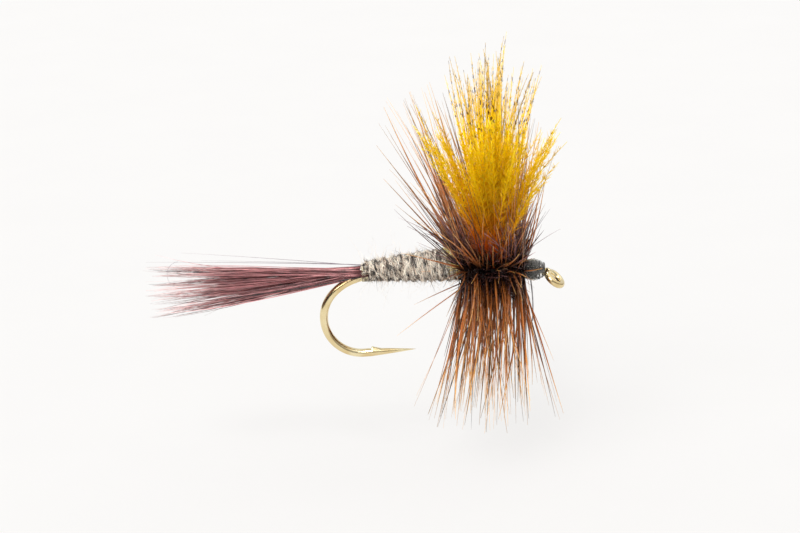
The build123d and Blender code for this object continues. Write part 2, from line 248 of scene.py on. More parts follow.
@dataclass
class Fibres:
    """Many tapering fibres held as whole arrays.

    Each fibre is a tube round its own centre line: a ring of corners at every step, where corner k is
    line + width cos(2 pi k / sides) across + depth sin(2 pi k / sides) (tangent x across). Both ends
    are closed by a face.

    Attributes:
        line: Centre points of shape (count, steps, 3).
        width: Half width across the flat of each ring, (count, steps).
        depth: Half thickness of each ring, (count, steps).
        across: The direction of each fibre's flat, (count, 3).
        tone: A value from 0 to 1 for each fibre, for its colour.
        lot: A second value from 0 to 1 for each fibre.
        along: Each ring's share of the way from root to tip, (count, steps).
        sides: Corners in each ring.
    """

    line: Array
    width: Array
    depth: Array
    across: Array
    tone: Array
    lot: Array
    along: Optional[Array] = None
    sides: int = 4

    def build(self, name: str) -> bpy.types.Object:
        """Make one mesh object of all the fibres.

        Args:
            name: The piece's name.

        Returns:
            The object.
        """
        count, steps, _ = self.line.shape
        along = self.along
        if along is None:
            along = np.broadcast_to(np.linspace(0, 1, steps), (count, steps))
        tangent = unit(np.gradient(self.line, axis=1))
        wanted = np.broadcast_to(self.across[:, None, :], tangent.shape)
        across = unit(wanted - (wanted * tangent).sum(-1, keepdims=True) * tangent)
        thick = np.cross(tangent, across)
        turn = 2 * np.pi * np.arange(self.sides) / self.sides
        rings = (
            self.line[:, :, None, :]
            + self.width[:, :, None, None] * np.cos(turn)[:, None] * across[:, :, None, :]
            + self.depth[:, :, None, None] * np.sin(turn)[:, None] * thick[:, :, None, :]
        )
        index = np.arange(count * steps * self.sides).reshape(count, steps, self.sides)
        walls = walls_between(index)
        shape = walls.shape
        u, around = wall_uv(along, self.sides)
        tone = np.broadcast_to(self.tone[:, None, None, None], shape)
        lot = np.broadcast_to(self.lot[:, None, None, None], shape)
        wall_skin = Skin(
            walls.reshape(-1, 4), np.stack([np.broadcast_to(u, shape), tone], axis=-1).reshape(-1, 4, 2),
            np.stack([lot, np.broadcast_to(around, shape)], axis=-1).reshape(-1, 4, 2),
        )
        caps = np.concatenate([index[:, 0, ::-1], index[:, -1]])
        ends = np.concatenate([along[:, 0], along[:, -1]])
        cap_fibre = np.stack([ends, np.tile(self.tone, 2)], axis=-1)[:, None, :]
        cap_lot = np.stack([np.tile(self.lot, 2), np.zeros(2 * count)], axis=-1)[:, None, :]
        cap_shape = (2 * count, self.sides, 2)
        cap_skin = Skin(caps, np.broadcast_to(cap_fibre, cap_shape), np.broadcast_to(cap_lot, cap_shape))
        return new_object(name, rings.reshape(-1, 3), [wall_skin, cap_skin])


def taper(steps: int, root: Array, tip: float, power: float) -> Array:
    """Half widths that fall from root to tip as 1 - t^power.

    Args:
        steps: Rings along the fibre.
        root: Each fibre's half width at its root.
        tip: The half width at the end.
        power: Above 1, the fibre keeps its width for longer.

    Returns:
        Half widths of shape (count, steps).
    """
    t = np.linspace(0, 1, steps)
    return tip + (root[:, None] - tip) * (1.0 - t**power)


def round_hairs(
    line: Array, root: Array, tip: float, power: float, across: Array, tone: Array, rng: np.random.Generator
) -> Fibres:
    """Hold three-sided hairs that are as thick as they are wide.

    Args:
        line: Centre points of shape (count, steps, 3).
        root: Each hair's half width at its root.
        tip: The half width at the end.
        power: Above 1, the hair keeps its width for longer.
        across: A direction across each hair.
        tone: Each hair's tone.
        rng: Random numbers, for the lots.

    Returns:
        The hairs.
    """
    width = taper(line.shape[1], root, tip, power)
    return Fibres(line, width, width, across, tone, rng.random(len(line)), sides=3)


def sleeve(name: str, rings: Array, length_share: Array) -> bpy.types.Object:
    """Make a surface from rings of points, as a tube with its ends closed.

    Args:
        name: The piece's name.
        rings: Points of shape (steps, sides, 3), wound so that faces look outwards.
        length_share: Each ring's place along the tube, for the UV map.

    Returns:
        The object.
    """
    steps, sides, _ = rings.shape
    index = np.arange(steps * sides).reshape(steps, sides)
    walls = walls_between(index)
    places = [np.broadcast_to(part, walls.shape) for part in wall_uv(length_share, sides)]
    uv = np.stack(places, axis=-1).reshape(-1, 4, 2)
    caps = np.stack([index[0, ::-1], index[-1]])
    cap_uv = np.broadcast_to(length_share[[0, -1]][:, None, None], (2, sides, 2))
    skins = [Skin(walls.reshape(-1, 4), uv, uv), Skin(caps, cap_uv, cap_uv)]
    return new_object(name, rings.reshape(-1, 3), skins)


def tube(
    name: str, line: Array, across: Array, width: Array, depth: Array, sides: int = 8
) -> bpy.types.Object:
    """Carry an oval section along one line.

    Corner k of ring i is line_i + width_i cos(2 pi k / sides) across_i + depth_i sin(...) out_i, where
    out is tangent x across.

    Args:
        name: The piece's name.
        line: Centre points, (steps, 3).
        across: The direction of the oval's width at each step, (steps, 3).
        width: Half width at each step.
        depth: Half depth at each step.
        sides: Corners in each ring.

    Returns:
        The object. Its UV map's first value is the distance along the line in millimetres.
    """
    tangent = unit(np.gradient(line, axis=0))
    across = unit(across - (across * tangent).sum(-1, keepdims=True) * tangent)
    thick = np.cross(tangent, across)
    turn = 2 * np.pi * np.arange(sides) / sides
    rings = (
        line[:, None, :]
        + width[:, None, None] * np.cos(turn)[None, :, None] * across[:, None, :]
        + depth[:, None, None] * np.sin(turn)[None, :, None] * thick[:, None, :]
    )
    return sleeve(name, rings, distances(line))


def finish_piece(
    piece: bpy.types.Object, material: bpy.types.Material, replaced: Iterable[str] = ()
) -> bpy.types.Object:
    """Args:
        piece: The object.
        material: Its finish.
        replaced: The CAD nodes that it stands for.

    Returns:
        The same object.
    """
    piece.data.materials.clear()
    piece.data.materials.append(material)
    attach(piece, "root")
    names = tuple(replaced)
    if names:
        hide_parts(*names)
    stands_for = ", ".join(names) or "no node"
    LOG.info("%s: %d faces, stands for %s", piece.name, len(piece.data.polygons), stands_for)
    return piece


# ---- shader wiring ---------------------------------------------------------
class Graph:
    """A node tree that is being wired, in a material or in a shader group."""

    def __init__(self, tree: bpy.types.NodeTree) -> None:
        """Start with an empty tree."""
        self.tree = tree
        self.tree.nodes.clear()

    def feed(self, socket: bpy.types.NodeSocket, value: Value) -> None:
        """Link a socket into another, or set its constant.

        Args:
            socket: The input.
            value: A constant, or the output to link.
        """
        if isinstance(value, bpy.types.NodeSocket):
            self.tree.links.new(value, socket)
        else:
            socket.default_value = value

    def add(self, kind: str, inputs: Optional[Inputs] = None, **settings: object) -> bpy.types.Node:
        """Add a shader node.

        Args:
            kind: The node type without its ShaderNode prefix.
            inputs: Values or sockets by input name or number.
            settings: Attributes of the node itself.

        Returns:
            The node.
        """
        node = self.tree.nodes.new("ShaderNode" + kind)
        for key, value in settings.items():
            setattr(node, key, value)
        for key, value in (inputs or {}).items():
            self.feed(node.inputs[key], value)
        return node

    def math(self, operation: str, *values: Value) -> bpy.types.NodeSocket:
        """Add a Math node and give its result."""
        return self.add("Math", dict(enumerate(values)), operation=operation).outputs[0]

    def mix(self, factor: Value, first: Value, second: Value) -> bpy.types.NodeSocket:
        """Mix two colours and give the result."""
        inputs = dict(zip(MIX_COLOUR_INPUTS, (factor, first, second)))
        return self.add("Mix", inputs, data_type="RGBA").outputs[MIX_COLOUR_OUTPUT]

    def ramp(self, factor: Value, stops: Sequence[tuple[float, Colour]]) -> bpy.types.NodeSocket:
        """Add a colour ramp with these stops and give its colour.

        Args:
            factor: Place on the ramp.
            stops: Place and colour of each stop.

        Returns:
            The ramp's colour.
        """
        node = self.add("ValToRGB", {0: factor})
        elements = node.color_ramp.elements
        while len(elements) < len(stops):
            elements.new(0.5)
        for element, (place, colour) in zip(elements, stops):
            element.position = place
            element.color = colour
        return node.outputs[0]

    def remap(self, value: Value, low: Value, high: Value) -> bpy.types.NodeSocket:
        """Rise smoothly from 0 where the value is low to 1 where it is high."""
        inputs: Inputs = {"Value": value, "From Min": low, "From Max": high}
        return self.add("MapRange", inputs, interpolation_type="SMOOTHSTEP").outputs[0]

    def uv(self, layer: str) -> tuple[bpy.types.NodeSocket, bpy.types.NodeSocket]:
        """Give the two values of one of a piece's UV maps."""
        parts = self.add("SeparateXYZ", {0: self.add("UVMap", uv_map=layer).outputs[0]})
        return parts.outputs[0], parts.outputs[1]

    def place(self, scale: tuple[float, float, float]) -> bpy.types.NodeSocket:
        """Give the Object coordinates, stretched by a scale."""
        coordinates = self.add("TexCoord").outputs["Object"]
        return self.add("Mapping", {"Vector": coordinates, "Scale": scale}).outputs[0]

    def cell(self, first: Value, stretch: float, second: Value, spread: float) -> bpy.types.NodeSocket:
        """Give a place for a noise from two values, each times a number of its own."""
        places = {0: self.math("MULTIPLY", first, stretch), 1: self.math("MULTIPLY", second, spread)}
        return self.add("CombineXYZ", places).outputs[0]

    def noise(self, vector: Value, scale: float, detail: float) -> bpy.types.NodeSocket:
        """Give a noise value from 0 to 1."""
        return self.add("TexNoise", {"Vector": vector, "Scale": scale, "Detail": detail}).outputs["Fac"]


def shader_group(
    name: str, inputs: Sequence[tuple[str, str, Value]], outputs: Sequence[tuple[str, str]]
) -> tuple[Graph, bpy.types.Node, bpy.types.Node]:
    """Begin a shader group.

    Args:
        name: The group's name.
        inputs: Name, socket type and default of each input.
        outputs: Name and socket type of each output.

    Returns:
        The graph to wire, the group's input node and its output node.
    """
    tree = bpy.data.node_groups.new(name, "ShaderNodeTree")
    for label, kind, default in inputs:
        tree.interface.new_socket(name=label, in_out="INPUT", socket_type=kind).default_value = default
    for label, kind in outputs:
        tree.interface.new_socket(name=label, in_out="OUTPUT", socket_type=kind)
    graph = Graph(tree)
    return graph, tree.nodes.new("NodeGroupInput"), tree.nodes.new("NodeGroupOutput")


COLOUR_SOCKET = "NodeSocketColor"
FLOAT_SOCKET = "NodeSocketFloat"
GREY: Colour = (0.5, 0.5, 0.5, 1.0)


class Groups:
    """The shader groups that several finishes share, each built the first time that it is asked for."""

    @staticmethod
    def barb_tone() -> bpy.types.NodeTree:
        """Colour of a feather fibre from root to tip, with a tone of its own, fine streaks and a paler raised
        colour blended in by its lot; on hackle barbs the lot follows how far up a barb points, so there the
        raised colour is a painted sheen on the upper barbs.

        Returns:
            A group that puts out Colour, Roughness and Height.
        """
        name = "feather fibre tone"
        if name in bpy.data.node_groups:
            return bpy.data.node_groups[name]
        graph, given, made = shader_group(
            name,
            [(f"{part} Colour", COLOUR_SOCKET, GREY) for part in ("Root", "Middle", "Tip", "Raised")]
            + [("Raised", FLOAT_SOCKET, 0.0), ("Root End", FLOAT_SOCKET, 0.3)]
            + [("Tip Start", FLOAT_SOCKET, 0.7), ("Contrast", FLOAT_SOCKET, 0.5)]
            + [("Roughness", FLOAT_SOCKET, 0.4)],
            [("Colour", COLOUR_SOCKET), ("Roughness", FLOAT_SOCKET), ("Height", FLOAT_SOCKET)],
        )
        along, tone = graph.uv("fibre")
        lot, _ = graph.uv("lot")
        root_share = graph.remap(along, 0.0, given.outputs["Root End"])
        tip_share = graph.remap(along, given.outputs["Tip Start"], 1.0)
        shaft = graph.mix(root_share, given.outputs["Root Colour"], given.outputs["Middle Colour"])
        # The raised colour blends in by lot. On tail and wing fibres it is a random paler tone. On hackle
        # barbs the lot follows how far up they point, so it is a painted sheen on the upper ones.
        raised = graph.math("MULTIPLY", graph.math("MULTIPLY", lot, given.outputs["Raised"]), root_share)
        shaft = graph.mix(raised, shaft, given.outputs["Raised Colour"])
        colour = graph.mix(tip_share, shaft, given.outputs["Tip Colour"])
        streak = graph.noise(graph.cell(along, 9.0, tone, 57.0), 2.2, 4.0)
        swing = graph.math("ADD", graph.math("SUBTRACT", tone, 0.5), graph.math("SUBTRACT", streak, 0.5))
        gain = graph.math("ADD", 1.0, graph.math("MULTIPLY", swing, given.outputs["Contrast"]))
        bright = graph.add("HueSaturation", {"Color": colour, "Value": gain})
        ridge = graph.math("SINE", graph.math("MULTIPLY", along, 900.0))
        graph.feed(made.inputs["Colour"], bright.outputs[0])
        graph.feed(made.inputs["Height"], graph.math("ADD", graph.math("MULTIPLY", ridge, 0.3), streak))
        unevenness = graph.math("SUBTRACT", streak, 0.5)
        rough = graph.math("MULTIPLY_ADD", unevenness, 0.3, given.outputs["Roughness"])
        graph.feed(made.inputs["Roughness"], rough)
        return graph.tree

    @staticmethod
    def flank_bars() -> bpy.types.NodeTree:
        """The dark bars that cross a flank feather, offset and broken from fibre to fibre.

        Returns:
            A group that puts out a Mask, 1 on a bar.
        """
        name = "flank feather bars"
        if name in bpy.data.node_groups:
            return bpy.data.node_groups[name]
        graph, given, made = shader_group(
            name, [("Bars", FLOAT_SOCKET, 18.0), ("Start", FLOAT_SOCKET, 0.3)], [("Mask", FLOAT_SOCKET)]
        )
        along, tone = graph.uv("fibre")
        bars_passed = graph.math("MULTIPLY", along, given.outputs["Bars"])
        phase = graph.math("ADD", bars_passed, graph.math("MULTIPLY", tone, 5.0))
        cell = graph.add("CombineXYZ", {0: phase, 1: graph.math("MULTIPLY", tone, 91.0)}).outputs[0]
        shift = graph.math("MULTIPLY", graph.noise(cell, 0.6, 2.0), 1.4)
        wave = graph.math("SINE", graph.math("MULTIPLY", graph.math("ADD", phase, shift), 2 * math.pi))
        bar = graph.remap(wave, 0.45, 0.85)
        broken = graph.remap(graph.noise(cell, 1.1, 2.0), 0.40, 0.56)
        start = given.outputs["Start"]
        started = graph.remap(along, start, graph.math("ADD", start, 0.2))
        mask = graph.math("MULTIPLY", graph.math("MULTIPLY", bar, broken), started)
        graph.feed(made.inputs["Mask"], mask)
        return graph.tree

    @staticmethod
    def flecks() -> bpy.types.NodeTree:
        """Fine mottling in space, for fur, thread and metal alike.

        Returns:
            A group that puts out a fine Fleck and a broad Drift, both from 0 to 1.
        """
        name = "flecks and drift"
        if name in bpy.data.node_groups:
            return bpy.data.node_groups[name]
        graph, given, made = shader_group(
            name, [("Fine Scale", FLOAT_SOCKET, 9000.0), ("Broad Scale", FLOAT_SOCKET, 1200.0)],
            [("Fleck", FLOAT_SOCKET), ("Drift", FLOAT_SOCKET)],
        )
        where = graph.add("TexCoord").outputs["Object"]
        fine = graph.add("TexNoise", {"Vector": where, "Scale": given.outputs["Fine Scale"], "Detail": 4.0})
        broad = graph.add("TexNoise", {"Vector": where, "Scale": given.outputs["Broad Scale"], "Detail": 2.0})
        graph.feed(made.inputs["Fleck"], graph.remap(fine.outputs["Fac"], 0.3, 0.7))
        graph.feed(made.inputs["Drift"], graph.remap(broad.outputs["Fac"], 0.3, 0.7))
        return graph.tree


def mottle(graph: Graph, fine: float, broad: float) -> tuple[bpy.types.NodeSocket, bpy.types.NodeSocket]:
    """Place the shared mottling at a fine and a broad scale, and give its fleck and its drift."""
    node = graph.add("Group", {"Fine Scale": fine, "Broad Scale": broad}, node_tree=Groups.flecks())
    return node.outputs["Fleck"], node.outputs["Drift"]


def surface(name: str, **constants: Value) -> tuple[bpy.types.Material, Graph, bpy.types.Node]:
    """Begin a material with a Principled BSDF.

    Args:
        name: The finish's name.
        constants: Input values, where an underscore in the name stands for a space.

    Returns:
        The material, its graph and the shader node.
    """
    material = bpy.data.materials.new(name)
    material.use_nodes = True
    graph = Graph(material.node_tree)
    shader = graph.add("BsdfPrincipled", {key.replace("_", " "): value for key, value in constants.items()})
    output = graph.add("OutputMaterial")
    graph.feed(output.inputs["Surface"], shader.outputs[0])
    return material, graph, shader


def add_bump(graph: Graph, shader: bpy.types.Node, height: Value, distance: float, strength: float) -> None:
    """Feed a height, in millimetres of distance, into a shader's normal."""
    bump = graph.add("Bump", {"Height": height, "Distance": distance * MM, "Strength": strength})
    graph.feed(shader.inputs["Normal"], bump.outputs[0])


# ---- finishes --------------------------------------------------------------
@dataclass(frozen=True)
class FeatherFinish:
    """The translucent, glossy horn of a feather fibre."""

    name: str
    root: Colour
    middle: Colour
    tip: Colour
    # A paler raised colour and how much of it blends in by each fibre's lot: a random paler tone on tail and
    # wings, and a painted top sheen on hackle barbs.
    raised: Colour = GREY
    pale_tone_or_top_sheen_share: float = 0.0
    root_end: float = 0.3
    tip_start: float = 0.7
    contrast: float = 0.9
    roughness: float = 0.36
    sheen: float = 0.3
    specular: float = 0.5
    glow: float = 0.15
    scatter: tuple[float, float, float] = (1.0, 0.9, 0.75)
    bar_colour: Optional[Colour] = None
    bars: float = 18.0
    bar_start: float = 0.3

    def build(self) -> bpy.types.Material:
        """Make the material.

        Returns:
            The material.
        """
        material, graph, shader = surface(
            self.name, Subsurface_Weight=self.glow, Subsurface_Scale=0.05 * MM,
            Subsurface_Radius=self.scatter, Specular_IOR_Level=self.specular, Sheen_Weight=self.sheen,
            Sheen_Roughness=0.4,
        )
        tone = graph.add(
            "Group",
            {
                "Root Colour": self.root, "Middle Colour": self.middle, "Tip Colour": self.tip,
                "Raised Colour": self.raised, "Raised": self.pale_tone_or_top_sheen_share, "Root End": self.root_end,
                "Tip Start": self.tip_start, "Contrast": self.contrast, "Roughness": self.roughness,
            },
            node_tree=Groups.barb_tone(),
        )
        colour = tone.outputs["Colour"]
        if self.bar_colour is not None:
            given: Inputs = {"Bars": self.bars, "Start": self.bar_start}
            bars = graph.add("Group", given, node_tree=Groups.flank_bars())
            colour = graph.mix(bars.outputs["Mask"], colour, self.bar_colour)
        graph.feed(shader.inputs["Base Color"], colour)
        graph.feed(shader.inputs["Roughness"], tone.outputs["Roughness"])
        add_bump(graph, shader, tone.outputs["Height"], 0.006, 0.5)
        return material


@dataclass(frozen=True)
class FurFinish:
    """Hare's fur: each hair is cream, grey or dark, and pales or darkens to its tip."""

    name: str
    stops: tuple[tuple[float, Colour], ...]
    tip: Colour
    tip_share: float = 0.5

    def build(self) -> bpy.types.Material:
        """Make the material.

        Returns:
            The material.
        """
        material, graph, shader = surface(
            self.name, Sheen_Weight=0.12, Sheen_Roughness=0.5, Specular_IOR_Level=0.3
        )
        along, tone = graph.uv("fibre")
        fleck, drift = mottle(graph, 14000.0, 1500.0)
        base = graph.ramp(tone, self.stops)
        tip = graph.math("MULTIPLY", graph.remap(along, 0.4, 1.0), self.tip_share)
        colour = graph.mix(tip, base, self.tip)
        gain = graph.math("MULTIPLY_ADD", fleck, 0.4, 0.8)
        bright = graph.add("HueSaturation", {"Color": colour, "Value": gain})
        graph.feed(shader.inputs["Base Color"], bright.outputs[0])
        graph.feed(shader.inputs["Roughness"], graph.math("MULTIPLY_ADD", drift, 0.2, 0.5))
        add_bump(graph, shader, fleck, 0.004, 0.4)
        return material


@dataclass(frozen=True)
class FeltedFurFinish:
    """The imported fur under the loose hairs: fine flecks of cream, grey and near black."""

    name: str
    pale: Colour
    grey: Colour
    dark: Colour

    def build(self) -> bpy.types.Material:
        """Make the material.

        Returns:
            The material.
        """
        material, graph, shader = surface(self.name, Sheen_Weight=0.1, Sheen_Roughness=0.6)
        fleck, drift = mottle(graph, 9000.0, 1300.0)
        soft = graph.mix(drift, self.pale, self.grey)
        spots = graph.remap(fleck, 0.62, 0.9)
        graph.feed(shader.inputs["Base Color"], graph.mix(spots, soft, self.dark))
        graph.feed(shader.inputs["Roughness"], graph.math("MULTIPLY_ADD", drift, 0.15, 0.75))
        add_bump(graph, shader, fleck, 0.02, 0.8)
        return material


@dataclass(frozen=True)
class ThreadFinish:
    """Waxed floss thread: many filaments lying along it, with a slow twist."""

    name: str
    pale: Colour
    dark: Colour
    gloss: float = 0.35
    varnished: float = 0.0

    def build(self) -> bpy.types.Material:
        """Make the material.

        Returns:
            The material.
        """
        material, graph, shader = surface(self.name, Coat_Weight=self.varnished, Coat_Roughness=0.04)
        along, around = graph.uv("fibre")
        twist = graph.math("ADD", graph.math("MULTIPLY", around, 6.0), graph.math("MULTIPLY", along, 1.2))
        cell = graph.add("CombineXYZ", {0: twist, 1: graph.math("MULTIPLY", along, 0.8)}).outputs[0]
        filament = graph.noise(cell, 1.6, 5.0)
        _, drift = mottle(graph, 6000.0, 2600.0)
        share = graph.math("ADD", filament, graph.math("MULTIPLY", drift, 0.5))
        colour = graph.mix(graph.remap(share, 0.5, 1.05), self.dark, self.pale)
        graph.feed(shader.inputs["Base Color"], colour)
        graph.feed(shader.inputs["Roughness"], graph.math("MULTIPLY_ADD", filament, 0.3, self.gloss - 0.1))
        add_bump(graph, shader, filament, 0.012, 0.7)
        return material


@dataclass(frozen=True)
class BoundThreadFinish:
    """Thread on the pieces under the body, as bands across the shank."""

    name: str
    pale: Colour
    dark: Colour
    turns_per_mm: float = 11.0

    def build(self) -> bpy.types.Material:
        """Make the material.

        Returns:
            The material.
        """
        material, graph, shader = surface(self.name, Specular_IOR_Level=0.4)
        where = graph.add("SeparateXYZ", {0: graph.place((1.0, 0.12, 0.12))}).outputs[0]
        wave = graph.math("SINE", graph.math("MULTIPLY", where, 2 * math.pi * self.turns_per_mm / MM))
        fleck, drift = mottle(graph, 7000.0, 1800.0)
        band = graph.math("MULTIPLY_ADD", wave, 0.35, 0.5)
        share = graph.math("MULTIPLY", band, graph.math("MULTIPLY_ADD", fleck, 0.6, 0.5))
        graph.feed(shader.inputs["Base Color"], graph.mix(share, self.dark, self.pale))
        graph.feed(shader.inputs["Roughness"], graph.math("MULTIPLY_ADD", drift, 0.2, 0.4))
        add_bump(graph, shader, wave, 0.02, 0.8)
        return material


@dataclass(frozen=True)
class GoldFinish:
    """Gold-lacquered wire: bright, with faint drawing marks along it and a warmer, duller drift."""

    name: str = "gold lacquered wire"
    bright: Colour = tint(249, 238, 198)
    deep: Colour = tint(204, 168, 94)

    def build(self) -> bpy.types.Material:
        """Make the material.

        Returns:
            The material.
        """
        material, graph, shader = surface(self.name, Metallic=1.0, Coat_Weight=0.4, Coat_Roughness=0.06)
        along, around = graph.uv("fibre")
        marks = graph.noise(graph.cell(along, 0.35, around, 14.0), 3.0, 6.0)
        fleck, drift = mottle(graph, 5200.0, 700.0)
        share = graph.math("MULTIPLY_ADD", drift, 0.5, graph.math("MULTIPLY", marks, 0.35))
        graph.feed(shader.inputs["Base Color"], graph.mix(share, self.bright, self.deep))
        rough = graph.math("MULTIPLY_ADD", marks, 0.16, 0.06)
        graph.feed(shader.inputs["Roughness"], graph.math("MULTIPLY_ADD", fleck, 0.05, rough))
        add_bump(graph, shader, marks, 0.004, 0.35)
        return material


@dataclass(frozen=True)
class VarnishFinish:
    """Clear head varnish with a few tiny ripples."""

    name: str = "clear head varnish"

    def build(self) -> bpy.types.Material:
        """Make the material.

        Returns:
            The material.
        """
        material, graph, shader = surface(
            self.name, Transmission_Weight=1.0, IOR=1.48, Specular_IOR_Level=0.6
        )
        _, drift = mottle(graph, 3000.0, 1500.0)
        colour = graph.mix(drift, tint(250, 249, 244), tint(240, 238, 228))
        graph.feed(shader.inputs["Base Color"], colour)
        graph.feed(shader.inputs["Roughness"], graph.math("MULTIPLY_ADD", drift, 0.05, 0.01))
        add_bump(graph, shader, drift, 0.012, 0.3)
        return material


@dataclass(frozen=True)
class FloorFinish:
    """Matt white paper on a light table, so the fly's shadow on it is faint."""

    name: str = "white paper floor"
    glow: float = 0.70

    def build(self) -> bpy.types.Material:
        """Make the material.

        Returns:
            The material.
        """
        light = tint(255, 254, 253)
        material, graph, shader = surface(
            self.name, Specular_IOR_Level=0.05, Emission_Color=light, Emission_Strength=self.glow
        )
        grain = graph.noise(graph.place((1.0, 1.0, 1.0)), 120.0, 3.0)
        colour = graph.mix(grain, tint(118, 117, 116), tint(114, 113, 112))
        graph.feed(shader.inputs["Base Color"], colour)
        graph.feed(shader.inputs["Roughness"], graph.math("MULTIPLY_ADD", grain, 0.1, 0.85))
        return material


# ---- where things are ------------------------------------------------------
@dataclass(frozen=True)
class Layout:
    """Places that several sub-assemblies share, read from the CAD nodes."""

    shank_height: float
    body: tuple[Array, Array]
    rear_stem: tuple[Array, Array]
    front_stem: tuple[Array, Array]
    head: tuple[Array, Array]

    @classmethod
    def read(cls) -> "Layout":
        """Measure the CAD nodes.

        Returns:
            The places.
        """
        base_low, base_high = box_mm("thread_base")
        head_low, _ = box_mm("head_thread_wraps")
        _, head_high = box_mm("whip_finish")
        return cls(
            shank_height=float(base_low[2] + base_high[2]) / 2, body=box_mm("dubbed_body"),
            rear_stem=box_mm("rear_hackle_stem"), front_stem=box_mm("front_hackle_stem"),
            head=(head_low, head_high),
        )

    def at(self, x: Array, radius: Array, around: Array) -> Array:
        """Points at a distance from the shank's axis; around is 0 straight up and grows to the far side.

        Args:
            x: Place along the shank.
            radius: Distance from its axis.
            around: Angle round it.

        Returns:
            Points of shape (..., 3).
        """
        return np.stack(
            [
                np.broadcast_to(x, np.broadcast(x, radius, around).shape), radius * np.sin(around),
                self.shank_height + radius * np.cos(around),
            ],
            axis=-1,
        )


def winding(
    layout: Layout, x: Array, radius: Array, turns: float, rise: float = 0.0
) -> tuple[Array, Array]:
    """The line of a strand wound round the shank, and the direction of the shank beside it.

    The strand is at x(w) and radius(w) while its angle grows evenly by 2 pi turns.

    Args:
        layout: Shared places.
        x: Place along the shank at each step.
        radius: Distance from the axis at each step.
        turns: How many times it goes round.
        rise: How far the middle of the coil lies above the shank's axis.

    Returns:
        Centre points and the across direction for a tube, both (steps, 3).
    """
    angle = np.linspace(0, 2 * np.pi * turns, len(x))
    line = layout.at(x, radius, angle) + np.array([0, 0, rise])
    return line, np.broadcast_to(X_AXIS, line.shape)


# ---- hook ------------------------------------------------------------------
@dataclass
class WireLine:
    """A line of straight runs and arcs, each leaving along the last one's heading.

    An arc about a unit axis n turns the heading t and moves the point p round the centre
    p + radius (n x t). Both it and the marking direction turn with the arc, so they never twist.
    """

    point: Array
    heading: Array
    mark: Array
    points: list[Array] = field(default_factory=list)
    marks: list[Array] = field(default_factory=list)

    def run(self, length: float, steps: int) -> None:
        """Go straight on for a length.

        Args:
            length: How far.
            steps: How many points to add.
        """
        t = np.linspace(0, 1, steps + 1)[1:, None]
        self.points.append(self.point + self.heading * length * t)
        self.marks.append(np.broadcast_to(self.mark, (steps, 3)))
        self.point = self.points[-1][-1]

    def turn(self, axis: Array, radius: float, degrees: float, steps: int) -> None:
        """Go round an arc about an axis that is square to the heading.

        Args:
            axis: The arc's unit axis.
            radius: The arc's radius.
            degrees: How far round.
            steps: How many points to add.
        """
        centre = self.point + radius * np.cross(axis, self.heading)
        angle = np.radians(degrees) * np.linspace(0, 1, steps + 1)[1:, None]

        def turned(vector: Array) -> Array:
            """Rotate a vector about the axis by each angle (Rodrigues' formula)."""
            rest = axis * np.dot(axis, vector) * (1 - np.cos(angle))
            return vector * np.cos(angle) + np.cross(axis, vector) * np.sin(angle) + rest

        self.points.append(centre + turned(self.point - centre))
        self.marks.append(turned(self.mark))
        self.point, self.mark = self.points[-1][-1], self.marks[-1][-1]
        self.heading = turned(self.heading)[-1]


